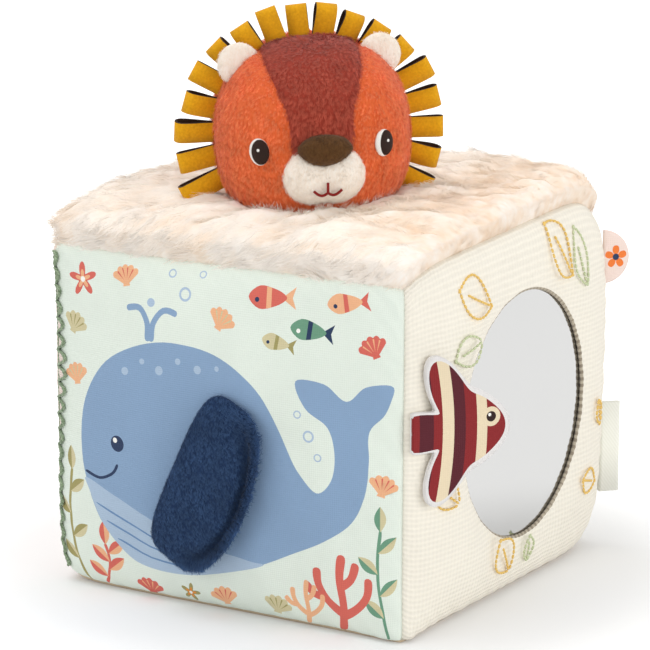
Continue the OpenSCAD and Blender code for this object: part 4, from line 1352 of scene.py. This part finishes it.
print("the gusset seam leaves the crown at", round(math.degrees(gusset_angle(math.pi / 2))), "degrees")

# %% Head cloth
ON_HEAD = Matrix.Translation(HEAD_AT) @ Matrix.Rotation(HEAD_YAW, 4, "Z") @ Matrix.Rotation(HEAD_ROLL, 4, "Y")
# The sphere's ring that becomes the gusset's seam, the rings to a pole, and the turn where the gusset ends
SEAM_RING, RINGS, GUSSET_FROM, NEAR = 9, 24, -0.4, 1e-3
HEAD_SEAM, HEAD_SEAM_WIDTH, SEAM_FROM = 1.3, 1.4, -0.3


def shape_head(bm):
    """Slides a sphere's rings onto the gusset seams, sinks the seams and colours the gusset's faces."""
    limit = SEAM_RING / RINGS
    side_of = {}
    for vert in bm.verts:
        ring = math.asin(max(-1, min(1, vert.co.z))) / (math.pi / 2)
        share, turn = abs(ring), math.atan2(vert.co.y, vert.co.x)
        side_of[vert] = (share, turn)
        seam = gusset_angle(max(turn, GUSSET_FROM))
        if share <= limit:
            angle = seam * share / limit
        else:
            angle = seam + (math.pi / 2 - seam) * (share - limit) / (1 - limit)
        way = Vector((math.copysign(math.sin(angle), ring), -math.cos(angle) * math.cos(turn),
                      math.cos(angle) * math.sin(turn)))
        seam_gap = HEAD_R * abs(angle - seam) if SEAM_FROM < turn < math.pi / 2 else HEAD_R
        seam_gap = min(seam_gap, HEAD_R * abs(way.y))
        vert.co = head_point(way, -HEAD_SEAM * math.exp(-(seam_gap / HEAD_SEAM_WIDTH) ** 2))
    for face in bm.faces:
        shares, turns = zip(*(side_of[v] for v in face.verts))
        on_front = min(turns) > GUSSET_FROM and max(turns) < math.pi / 2 + NEAR
        face.material_index = 1 if on_front and max(shares) <= limit + NEAR else 0


orange_cloth = plush_cloth("orange_plush_ground", "#e8703e", "#d45a28")
russet_cloth = plush_cloth("russet_plush_ground", "#a84232", "#933424")
bm = bmesh.new()
bmesh.ops.create_uvsphere(bm, u_segments=96, v_segments=2 * RINGS, radius=1.0)
shape_head(bm)
bmesh.ops.transform(bm, matrix=ON_HEAD, verts=bm.verts)
bmesh.ops.recalc_face_normals(bm, faces=bm.faces)
head = to_piece("head_plush", bm, "head", [orange_cloth, russet_cloth],
                ["face_left", "face_right", "face_centre", "head_back", "head_stuffing"])

# %% Head pile
# Brushed patches and fine ones turn the stroke of the plush: by how much, and over how many millimetres
PATCH, PATCH_SIZE, FINE_PATCH, FINE_PATCH_SIZE = 0.45, 12, 0.3, 3
NAP_SIZES, NAP_TONES, TONE_SIZE = (0.8, 1.15), (0.76, 1.1), 6


def plush(name, tufts, piece, count, seed, finish, size=1.0, choose=None, tones=(0.95, 1.0)):
    """Short plush pile on a piece, stroked one way with brushed patches."""
    places, normals = roots_on(piece, count, seed, choose)
    stroke = np.array((0, 0, -1)) + PATCH * stroke_noise(places, PATCH_SIZE, seed)
    stroke = stroke + FINE_PATCH * stroke_noise(places, FINE_PATCH_SIZE, seed + 1)
    sizes = size * np.random.default_rng(seed).uniform(*NAP_SIZES, count)
    spots = spotty(places, TONE_SIZE, *tones, seed)
    return pile(name, tufts, places, normals, stroke, sizes, spots, "head", finish)


# Each pile's first colour is painted shade at its roots, and the second painted light at its tips
orange_pile = pile_finish("orange_plush_pile", "#d95c2a", "#fb9460", 0.8, 0.2)
russet_pile = pile_finish("russet_plush_pile", "#923121", "#c75d47", 0.8, 0.2)
from_world = ON_HEAD.inverted()


def head_patch(face):
    """Which of the head's three patches a face belongs to."""
    if face.material_index == 1:
        return "russet"
    return "orange_right" if (from_world @ (face.center / MM)).x > 0 else "orange_left"


for patch, count, seed, finish, slot in (("orange_left", 4500, 31, orange_pile, "orange_plush"),
                                         ("orange_right", 4500, 33, orange_pile, "orange_plush"),
                                         ("russet", 2000, 32, russet_pile, "russet_plush")):
    nap = plush("head_pile_" + patch, nap_tufts, head, count, seed, finish,
                choose=lambda face: head_patch(face) == patch, tones=NAP_TONES)
    # The short plush lets light through as the fur does
    nap.visible_shadow = False

# %% [markdown]
# ## Muzzle, nose, ears and eyes
#
# The muzzle is two cream lobes in one skin: a sphere whose points are pushed out to whichever of two balls is
# further, with a soft step between them. The nose is a plump rounded triangle, the ears are flat discs, and
# the eyes are satin-stitched domes with a small light, as on any plush animal.

# %% Muzzle
MUZZLE_AT, MUZZLE_R, LOBE_X, LOBE_SOFT = Vector((0, -26, -10.5)), 11.8, 4.6, 1.2


def muzzle_point(way, lift=0.0):
    """A direction from the muzzle's middle as a place on its two lobes."""
    reaches = []
    for side in (-1, 1):
        near = side * LOBE_X * way.x
        reaches.append(near + math.sqrt(near ** 2 - LOBE_X ** 2 + MUZZLE_R ** 2))
    both = math.log(sum(math.exp(reach / LOBE_SOFT) for reach in reaches))
    return MUZZLE_AT + way * (LOBE_SOFT * (both - math.log(2) / 2) + lift)


def stuffed(part, side, steps, rule, stand, finishes, count, seed, size):
    """A small stuffed part of the head: a sphere moved by a rule and stood on the head, with its pile."""
    bm = bmesh.new()
    bmesh.ops.create_uvsphere(bm, u_segments=steps[0], v_segments=steps[1], radius=1.0)
    for vert in bm.verts:
        vert.co = rule(vert.co)
    bmesh.ops.transform(bm, matrix=ON_HEAD @ stand, verts=bm.verts)
    piece = to_piece(f"{part}_plush{side}", bm, "head", [finishes[0]], [part + side])
    plush(f"{part}_pile{side}", plush_tufts, piece, count, seed, finishes[1], size)


cream_finishes = (plush_cloth("cream_plush_ground", "#fdf6ec", "#f6e8d7"),
                  pile_finish("cream_plush_pile", "#faeddd", "#fffaf3", 0.8, 0.2))
stuffed("muzzle", "", (48, 32), lambda co: muzzle_point(co.normalized()), Matrix(), cream_finishes,
        1500, 41, 0.7)

# %% Nose
NOSE_AT, NOSE_R, NOSE_H, NOSE_TAPER = Vector((0, -36.0, -1.0)), 10.0, 5.6, 0.22


def nose_point(co):
    """A place on a sphere as a place on the nose, which is narrower below."""
    narrow = 1 - NOSE_TAPER * max(0.0, -co.z)
    return NOSE_AT + Vector((NOSE_R * co.x * narrow, NOSE_H * co.y, NOSE_H * co.z))


brown_finishes = (plush_cloth("brown_plush_ground", "#654526", "#4a3019", 0.1),
                  pile_finish("brown_plush_pile", "#553819", "#7c5832", 0.8, 0.1))
stuffed("nose", "", (40, 24), nose_point, Matrix(), brown_finishes, 480, 43, 0.6)

# %% Ears
EAR_R, EAR_HALF, EAR_CUP, EAR_AT, EAR_Y = 7.8, 2.6, 0.9, math.radians(43), -6.4


def ear_point(co):
    """A place on a sphere as a place on an ear, a flat pad with a hollow front."""
    cup = EAR_CUP * (1 - co.x ** 2 - co.y ** 2)
    return Vector((EAR_R * co.x, EAR_R * co.y, EAR_HALF * co.z - cup))


for side, side_name in ((-1, "_left"), (1, "_right")):
    stand = Matrix.Rotation(side * EAR_AT, 4, "Y") @ Matrix.Translation((0, EAR_Y, HEAD_R))
    stand = stand @ Matrix.Rotation(math.pi / 2, 4, "X")
    stuffed("ear", side_name, (32, 20), ear_point, stand, cream_finishes, 420, 45 + side,
            0.6)

# %% Eyes
EYE_X, EYE_Z, EYE_THICK, EYE_LIFT = 22.5, -1.2, 1.7, 0.2
# A pale rim, a dark dome and a small light: thread, half width, half height, share of thickness, place
EYE_PARTS = [(1, 4.0, 5.0, 0.9, (-0.25, 0.0, 0.0)), (0, 3.6, 4.7, 1.0, (0.25, 0.0, 0.3)),
             (1, 0.95, 0.95, 0.4, (0.3, 0.9, 1.4))]
for side, eye_name in ((-1, "left"), (1, "right")):
    depth = math.sqrt(1 - (EYE_X / HEAD_R) ** 2 - (EYE_Z / HEAD_R) ** 2)
    way = Vector((side * EYE_X / HEAD_R, -depth, EYE_Z / HEAD_R))
    out = Vector((way.x / HEAD_R, way.y / FACE_DEPTH, way.z / HEAD_R)).normalized()
    turn = out.to_track_quat("Z", "Y").to_matrix().to_4x4()
    stand = ON_HEAD @ Matrix.Translation(head_point(way, EYE_LIFT)) @ turn
    bm = bmesh.new()
    for finish_index, wide, tall, thick, place in EYE_PARTS:
        size = Matrix.Diagonal((wide, tall, EYE_THICK * thick, 1))
        add_ball(bm, stand @ Matrix.Translation(place) @ size, finish_index, 32, 16)
    to_piece("eye_stitched_" + eye_name, bm, "head", [dark_thread, white_thread],
             ["eye_" + eye_name])

# %% Mouth
# Directions from the muzzle's middle: down from the nose to the lip, and from there a smile to each side
DROP_FROM, LIP, SMILE_REACH, SMILE_DIP, SMILE_RISE = -0.15, -0.5, 0.42, 0.16, 0.10
MOUTH_LIFT, MOUTH_R = 1.5, 0.5
mouth_ways = [[(0, -1, t) for t in np.linspace(DROP_FROM, LIP, 6)]]
for side in (-1, 1):
    mouth_ways.append([(side * SMILE_REACH * t, -1, LIP - SMILE_DIP * math.sin(math.pi * t) + SMILE_RISE * t)
                       for t in np.linspace(0, 1, 10)])
mouth_lines = [[muzzle_point(Vector(way).normalized(), MOUTH_LIFT) for way in ways] for ways in mouth_ways]
bm = tube_mesh(mouth_lines, MOUTH_R)
bmesh.ops.transform(bm, matrix=ON_HEAD, verts=bm.verts)
to_piece("mouth_stitch", bm, "head", [red_thread])

# %% [markdown]
# ## Mane
#
# Eighteen loops of felt ribbon are sewn into the seam round the face: mustard outside, dark brown inside and
# at the cut edges. Each loop is one short edge extruded along a teardrop path. Solidify gives it a wall whose
# inside and rim take the second finish, which draws the dark lines along the edges.


# %% Ribbon felt
def ribbon_felt(name, code, dark):
    """Pressed felt: a short matt nap with faint streaks."""
    nap = ("TexNoise", {"Scale": grains(0.9), "Detail": 5.0}, {})
    sockets = {"Roughness": 0.92, "Sheen Weight": 0.08, "Specular IOR Level": 0.2}
    return two_tone(name, sockets, nap, colour(dark), colour(code), 0.5, 0.15)


mustard_felt = ribbon_felt("mustard_felt_ribbon", "#f8b81c", "#c88808")
brown_felt = ribbon_felt("dark_brown_felt_ribbon", "#402616", "#2a180d")
print("finishes", mustard_felt.name, brown_felt.name)

# %% Mane ribbons
LOOPS, LOOP_FIRST, LOOP_STEP = 18, -116.0, 232.0 / 17
LOOP_W, LOOP_ROOT, LOOP_TIP, RIBBON, ROOT_GAP = 7.7, 35.0, 50.6, 0.9, 0.95
LOOP_BELLY, LOOP_TWIST = 1.5 + RIBBON, 0.1
# Loops are shorter at the crown and a little on the right, and no two are quite alike
CROWN_SHORT, RIGHT_SHORT = 3.6, 1.2
TWIST_ODD, LEAN_ODD, TIP_ODD, BELLY_ODD = 0.08, 0.05, 0.9, (-0.5, 0.7)


def loop_path(tip, belly):
    """Depth and reach along one loop, from one root round the tip to the other."""
    leg_end = tip - belly
    leg = [(ROOT_GAP + (belly - ROOT_GAP) * smooth_step(t), LOOP_ROOT + (leg_end - LOOP_ROOT) * t)
           for t in np.linspace(0, 1, 9)]
    cap = [(belly * math.cos(t), leg_end + belly * math.sin(t)) for t in np.linspace(0, math.pi, 13)[1:-1]]
    return leg + cap + [(-depth, reach) for depth, reach in reversed(leg)]


bm = bmesh.new()
sway = np.random.default_rng(77)
half = Vector((LOOP_W / 2, 0, 0))
hold = Matrix.Translation((0, 0, LOOP_ROOT))
for index in range(LOOPS):
    bearing = math.radians(LOOP_FIRST + LOOP_STEP * index) - HEAD_ROLL
    show_opening = math.copysign(LOOP_TWIST, bearing) + sway.normal(0, TWIST_ODD)
    twist = Matrix.Rotation(show_opening, 4, "Z") @ Matrix.Rotation(sway.normal(0, LEAN_ODD), 4, "X")
    place = ON_HEAD @ Matrix.Rotation(bearing, 4, "Y") @ hold @ twist @ hold.inverted()
    shorter = CROWN_SHORT * max(0.0, math.cos(bearing)) ** 2 + RIGHT_SHORT * max(0.0, math.sin(bearing))
    tip = LOOP_TIP - shorter + sway.normal(0, TIP_ODD)
    belly_depth = LOOP_BELLY + sway.uniform(*BELLY_ODD)
    path = [Vector((0, depth, reach)) for depth, reach in loop_path(tip, belly_depth)]
    edge = bm.edges.new([bm.verts.new(place @ (path[0] - half)), bm.verts.new(place @ (path[0] + half))])
    for before, after in zip(path, path[1:]):
        edge = extend(bm, edge, (place @ after) - (place @ before))[0]
mane = to_piece("mane_ribbons", bm, "head", [mustard_felt, brown_felt],
                [f"mane_loop_{index + 1:02d}" for index in range(LOOPS)], RIBBON)
mane.modifiers["cloth"].material_offset = 1
mane.modifiers["cloth"].material_offset_rim = 1

# %% [markdown]
# ## Neck
#
# Under the head a small patch of cotton jersey joins it to the cube and turns with it. It hardly shows, so a
# short cone is enough. Its rims are bevelled, because a cloth edge is never sharp.

# %% Neck
NECK_R, NECK_TOP_R, NECK_T, NECK_ROUND, SHARP = 12.0, 11.0, 2.2, 0.6, 1
neck_cloth = plush_cloth("neck_cotton_jersey", "#e9d8c3", "#d3bda2")
neck_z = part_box("neck_patch")[0].z / MM + NECK_T / 2
bm = bmesh.new()
bmesh.ops.create_cone(bm, cap_ends=True, segments=48, radius1=NECK_R, radius2=NECK_TOP_R, depth=NECK_T,
                      matrix=Matrix.Translation((HEAD_AT.x, HEAD_AT.y, neck_z)))
rim = [e for e in bm.edges if len(e.link_faces) == 2 and e.calc_face_angle(0) > SHARP]
bmesh.ops.bevel(bm, geom=rim, offset=NECK_ROUND, segments=3, profile=0.5, affect="EDGES", material=-1)
to_piece("neck_cloth", bm, "neck", [neck_cloth], ["neck_patch"])

# %% [markdown]
# ## Lift flap
#
# The flap is a small stuffed pad of navy plush, sewn down along its left edge. It starts as a sphere: the
# angle of each point picks a place on the flap's outline, its distance from the axis the share of that
# outline, and its height the padding. The underside lies flat over the printed panel with room to swing.

# %% Flap shape
FLAP_LEN, FLAP_W, FLAP_LEAN, FLAP_X, FLAP_Z = 70.0, 34.0, math.radians(26), -14.0, 57.0
FLAP_LOW, FLAP_SEAM, FLAP_HIGH, PAD_POWER, UNDER_SLOPE = 0.5, 2.4, 6.4, 0.5, 2.5
FLAP_STAND_OFF, HINGE_SQUARE = 3.0, 0.4
# A sewn groove follows the free edge: depth, share of the outline, width, and how it starts at the hinge
FLAP_GROOVE, GROOVE_AT, GROOVE_WIDE, GROOVE_FROM, GROOVE_FADE = 2.4, 0.81, 0.09, 0.1, 0.7
TUCK, TUCKS, TUCK_FADE = 0.3, 11, 6


def flap_point(angle, share, lift):
    """A place over the front panel, from an angle and a share of the flap's outline."""
    power = HINGE_SQUARE if math.cos(angle) < 0 else 1.0
    across, along = (math.copysign(abs(t) ** power, t) * share for t in (math.cos(angle), math.sin(angle)))
    out, down = FLAP_W / 2 * (1 + across), FLAP_LEN / 2 * along
    x = FLAP_X + down * math.sin(FLAP_LEAN) + out * math.cos(FLAP_LEAN)
    z = FLAP_Z + down * math.cos(FLAP_LEAN) - out * math.sin(FLAP_LEAN)
    crown = SIDE_CROWN * (1 - abs(x / HALF_W) ** CROWN_POWER) * (1 - abs((z - MID_Z) / HALF_H) ** CROWN_POWER)
    return Vector((x, -HALF_W - crown - lift - FLAP_STAND_OFF * ((1 + across) / 2) ** 2, z))


def flap_lift(angle, share, rise):
    """How far a point of the sphere, at a height from -1 to 1, comes to lie over the front panel."""
    if rise < 0:
        return FLAP_SEAM - (FLAP_SEAM - FLAP_LOW) * min(1.0, -UNDER_SLOPE * rise)
    tuck = TUCK * math.sin(TUCKS * angle) * share ** TUCK_FADE
    free = max(0.0, min(1.0, (math.cos(angle) + GROOVE_FROM) / GROOVE_FADE))
    groove = FLAP_GROOVE * free * math.exp(-((share - GROOVE_AT) / GROOVE_WIDE) ** 2)
    return FLAP_SEAM + (FLAP_HIGH - FLAP_SEAM) * rise ** PAD_POWER + tuck * rise - groove


print("the flap is", round(flap_lift(0.0, 0.0, 1.0) - FLAP_LOW, 1), "mm thick in its middle")

# %% Flap
UNDER_NORMAL = 0.3
navy_cloth = plush_cloth("navy_plush_ground", "#243a5e", "#182a46", 0.05)
flap_lining_cloth = plush_cloth("navy_brushed_lining", "#33466a", "#293a5a", 0.05)
bm = bmesh.new()
bmesh.ops.create_uvsphere(bm, u_segments=90, v_segments=60, radius=1.0)
for vert in bm.verts:
    angle, share = math.atan2(vert.co.y, vert.co.x), min(1.0, math.hypot(vert.co.x, vert.co.y))
    vert.co = flap_point(angle, share, flap_lift(angle, share, vert.co.z))
bmesh.ops.recalc_face_normals(bm, faces=bm.faces)
if bm.calc_volume(signed=True) < 0:
    bmesh.ops.reverse_faces(bm, faces=bm.faces)
for face in bm.faces:
    face.material_index = 1 if face.normal.y > UNDER_NORMAL else 0
flap = to_piece("flap_pad", bm, "flap", [navy_cloth, flap_lining_cloth],
                ["flap_plush", "flap_lining"])

# %% Flap pile
FLAP_COUNT, FLAP_SEED, FLAP_STROKE = 3600, 51, np.array((0.3, 0, -0.8))
FLAP_PATCH, FLAP_PATCH_SIZE, FLAP_TONES, GROOVE_SHADE, SHADE_WIDE = 0.3, 9, (0.72, 1.12), 0.6, 0.1
# Toward the free edge the pile turns outward and is longer
EDGE_FROM, EDGE_FADE, EDGE_OUTWARD, HINGE_FREE, PILE_SIZE, EDGE_LONGER = 0.74, 0.16, 1.4, 0.4, 0.6, 0.6
navy_pile = pile_finish("navy_plush_pile", "#273f63", "#446390", 0.75, 0.08)
flap_tufts = [tuft(20 + seed, 8, 2.0, 0.8, 0.17, (1.05, 1.5), 2) for seed in range(3)]
places, normals = roots_on(flap, FLAP_COUNT, FLAP_SEED, lambda face: face.material_index == 0)
from_middle = places / MM - np.array(flap_point(0.0, 0.0, 0.0))
out = (from_middle[:, 0] * math.cos(FLAP_LEAN) - from_middle[:, 2] * math.sin(FLAP_LEAN)) / (FLAP_W / 2)
down = (from_middle[:, 0] * math.sin(FLAP_LEAN) + from_middle[:, 2] * math.cos(FLAP_LEAN)) / (FLAP_LEN / 2)
share = np.hypot(out, down)
free_side = np.clip(HINGE_FREE + out, 0, 1)
at_edge = np.clip((share - EDGE_FROM) / EDGE_FADE, 0, 1) * free_side
valley = np.exp(-((share - GROOVE_AT) / SHADE_WIDE) ** 2) * free_side
outward = from_middle / np.linalg.norm(from_middle, axis=1)[:, None]
stroke = FLAP_STROKE + FLAP_PATCH * stroke_noise(places, FLAP_PATCH_SIZE, FLAP_SEED)
stroke = stroke + EDGE_OUTWARD * at_edge[:, None] * outward
# Painted shade: GROOVE_SHADE darkens the pile along the groove, as shade in the valley
tones = spotty(places, FLAP_PATCH_SIZE, *FLAP_TONES, FLAP_SEED) * (1 - GROOVE_SHADE * valley)
pile("flap_pile", flap_tufts, places, normals, stroke, PILE_SIZE + EDGE_LONGER * at_edge, tones, "flap",
     navy_pile)

# %% [markdown]
# ## Charm, tab and label
#
# These are sewn into the seams by one edge. The charm is a flat printed fish of two felt layers with a pale
# border, cut by the same method as the panels. The tab is a half disc with a little padding and one flower.
# The label is a plain folded ribbon.

# %% Charm shape
CHARM_W, CHARM_H, CHARM_T, CHARM_Z, CHARM_ROOT = 41.0, 54.0, 1.1, 78.0, 2.2
CHARM_REST, CHARM_MID, CHARM_STAND_OFF = math.radians(34), CHARM_W * 0.56, 2.6
# The outline's bumps, by their angle from the nose in degrees, with widths and shares of the charm's width
FINS, FIN_WIDE, BODY_SHARE = (116, 244), 20, 0.36
TAIL_TIPS, TIP_WIDE, TAIL_SHARE = (166, 194), 11, 0.24
WAISTS, WAIST_WIDE, WAIST_SHARE = (148, 212), 9, 0.06
FISH_NOSE, FISH_NOSE_WIDE, FISH_NOSE_SHARE, LEAST_STEP = 0, 30, 0.07, 0.05
# An upright seam's distance from the cube's middle, where the rounded edges of two sides meet
SEAM_REACH = HALF_W * 2 ** (1 / 2 - 1 / EDGE_POWER)


def beside_corner(out):
    """Both of x and y at a distance outside an upright seam."""
    return (SEAM_REACH + out) / math.sqrt(2)


def bump(angle, at, wide):
    """A soft bump in an outline at an angle in degrees."""
    return math.exp(-(((angle - at + 180) % 360 - 180) / wide) ** 2)


def charm_ring(shrink):
    """The fish's outline, drawn in by so many millimetres, cut off at the seam."""
    tall, body = CHARM_H / 2 / math.sin(math.radians(FINS[0])), CHARM_W * BODY_SHARE
    ring = []
    for angle in range(0, 360, 3):
        fins = sum(bump(angle, at, FIN_WIDE) for at in FINS)
        tips = max(bump(angle, at, TIP_WIDE) for at in TAIL_TIPS)
        tail = 1.0 if TAIL_TIPS[0] < angle < TAIL_TIPS[1] else tips
        waist = sum(bump(angle, at, WAIST_WIDE) for at in WAISTS)
        nose_bump = bump(angle, FISH_NOSE, FISH_NOSE_WIDE)
        r = body + (tall - body) * fins - shrink
        r += CHARM_W * (TAIL_SHARE * tail - WAIST_SHARE * waist + FISH_NOSE_SHARE * nose_bump)
        a = math.radians(angle)
        ring.append((max(CHARM_ROOT, CHARM_MID + r * math.cos(a)), r * math.sin(a)))
    return np.array([p for k, p in enumerate(ring) if math.dist(p, ring[k - 1]) > LEAST_STEP])


def on_charm(flat, out):
    """Reach and height on the charm as places beside its seam, so far out along its normal."""
    way = Vector((math.sin(CHARM_REST), math.cos(CHARM_REST), 0))
    normal = Vector((math.cos(CHARM_REST), -math.sin(CHARM_REST), 0))
    hinge = beside_corner(CHARM_STAND_OFF)
    start = Vector((hinge, -hinge, CHARM_Z))
    return np.array([start + way * p[0] + normal * (out + p[2]) + Vector((0, 0, p[1])) for p in flat])


print("the charm's outline has", len(charm_ring(0.0)), "points")

# %% Charm
LAYER_GAP, CHARM_BORDER = 0.15, 1.9
BURGUNDY, MAROON, CREAM_INK, BORDER, PUPIL = "#8a2225", "#561824", "#e9d8b8", "#e6e3e1", "#2a1512"
STRIPES, STRIPE_BEND = [(2.0, 7.5, MAROON), (11.0, 15.5, CREAM_INK), (15.5, 20.0, MAROON),
                        (24.5, 28.5, CREAM_INK)], 3.0
charm_print = [(charm_ring(CHARM_BORDER), BURGUNDY)]
stripe_heights = np.linspace(-CHARM_H / 2, CHARM_H / 2, 15)
stripe_bend = STRIPE_BEND * (1 - (2 * stripe_heights / CHARM_H) ** 2)
for low, high, ink in STRIPES:
    near = np.stack([low + stripe_bend, stripe_heights], 1)
    charm_print.append((np.concatenate([near, (near + (high - low, 0))[::-1]]), ink))
charm_print += [dot(33.0, 3.5, 3.6, CREAM_INK), dot(33.0, 3.5, 1.9, PUPIL), dot(32.4, 4.2, 0.6, WHITE_INK)]
charm_fill = [(x, z) for x in np.arange(3, CHARM_W, 2.0) for z in np.arange(-CHARM_H / 2, CHARM_H / 2, 2.0)]
# Printed felt: matt as cotton is, with weaker threads, because pressed fibres give only a faint grain
charm_felt = cotton("charm_printed_felt", THREAD, THREAD, (0.4, 0.4), 0.3)
for layer, out, prints, slot in (("front", LAYER_GAP / 2 + CHARM_T, charm_print, "charm_print"),
                                 ("back", -LAYER_GAP / 2, [], "charm_backing")):
    bm = cut_cloth(charm_ring(0.0), BORDER, prints, charm_fill, framed=bool(prints))
    move_points(bm, lambda flat: on_charm(flat, out))
    charm = to_piece(f"charm_{layer}_layer", bm, "charm", [charm_felt], ["charm_" + layer], CHARM_T)

# %% Corner tab
TAB_R, TAB_Z, TAB_STAND_OFF, TAB_HALF, TAB_PUFF, TAB_STEP = 10.5, 115.0, 1.8, 0.45, 0.95, 1.2
PETALS, PETAL_TURN, FLOWER_X, FLOWER_MIDDLE_R = 5, 18, 4.9, 1.3
PINK_FELT, PETAL_INK, FLOWER_INK = "#f5e0d6", "#f5823c", "#2d3f60"
tab_turns = np.linspace(-math.pi / 2, math.pi / 2, 33)
tab_ring = TAB_R * np.stack([np.cos(tab_turns), np.sin(tab_turns)], 1)
petal = ring_of([(0.7, 0), (2.1, 1.3), (4.0, 1.15), (4.5, 0), (4.0, -1.15), (2.1, -1.3)], 4)
tab_print = [(placed(petal, FLOWER_X, 0, 360 / PETALS * k + PETAL_TURN), PETAL_INK) for k in range(PETALS)]
tab_print += [dot(FLOWER_X, 0, FLOWER_MIDDLE_R, FLOWER_INK)]
tab_fill = [(x, z) for x in np.arange(0.8, TAB_R, TAB_STEP) for z in np.arange(-TAB_R, TAB_R, TAB_STEP)]
bm = cut_cloth(tab_ring, PINK_FELT, tab_print, tab_fill)
bmesh.ops.solidify(bm, geom=bm.faces[:], thickness=1.0)
middle_z = sum(v.co.z for v in bm.verts) / len(bm.verts)
for vert in bm.verts:
    puff = TAB_PUFF * math.sqrt(max(0.0, 1 - (vert.co.xy.length / TAB_R) ** 2))
    vert.co.z = math.copysign(TAB_HALF + puff, vert.co.z - middle_z)
tab_seam = beside_corner(TAB_STAND_OFF)
stand = Matrix.Translation((tab_seam, tab_seam, TAB_Z)) @ Matrix.Rotation(math.pi / 4, 4, "Z")
bmesh.ops.transform(bm, matrix=stand @ Matrix.Rotation(math.pi / 2, 4, "X"), verts=bm.verts)
bmesh.ops.recalc_face_normals(bm, faces=bm.faces)
tab_felt = cotton("tab_printed_felt", THREAD, THREAD, (0.4, 0.4), 0.3)
tab = to_piece("corner_tab_pad", bm, "tab", [tab_felt], ["corner_tab"])

# %% Side label
LABEL_LOW, LABEL_HIGH, LABEL_OUT, LABEL_HALF, LABEL_T = 21.0, 57.0, 8.5, 1.2, 0.7
LABEL_GAP, LABEL_FROM = 0.3, 0.2
# Cotton twill tape: matt, with fine diagonal lines of 0.9 mm
twill_lines = ("TexWave", {"Scale": bands(0.9), "Distortion": 0.4}, {"bands_direction": "DIAGONAL"})
twill = two_tone("cotton_twill_tape", {"Roughness": 0.8, "Sheen Weight": 0.2}, twill_lines,
                 colour("#f4f4e8"), colour("#fafaf0"), 0.2, 0.15)
fold = LABEL_OUT - LABEL_HALF
leg = np.linspace(LABEL_FROM, fold, 6)
plan = [(x, -LABEL_HALF) for x in leg]
plan += [(fold + LABEL_HALF * math.sin(t), -LABEL_HALF * math.cos(t))
         for t in np.linspace(0, math.pi, 9)[1:-1]]
plan += [(x, LABEL_HALF) for x in leg[::-1]]
label_seam = beside_corner(LABEL_HALF + LABEL_GAP)
stand = Matrix.Translation((label_seam, label_seam, 0)) @ Matrix.Rotation(math.pi / 4, 4, "Z")
path = [stand @ Vector((x, y, 0)) for x, y in plan]
bm = bmesh.new()
edge = bm.edges.new([bm.verts.new(path[0] + Vector((0, 0, z))) for z in (LABEL_LOW, LABEL_HIGH)])
for before, after in zip(path, path[1:]):
    edge = extend(bm, edge, after - before)[0]
bmesh.ops.recalc_face_normals(bm, faces=bm.faces)
label = to_piece("side_label_ribbon", bm, "label", [twill], ["side_label"], LABEL_T)

# %% [markdown]
# ## Sizes
#
# The size of the dressed toy's box is printed at the end. The dressed toy has to stay within the imported
# model's box, apart from a little pile that stands proud.

# %% Sizes
low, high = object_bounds()
print("visual box in mm:", [round(x / MM, 1) for x in high - low])
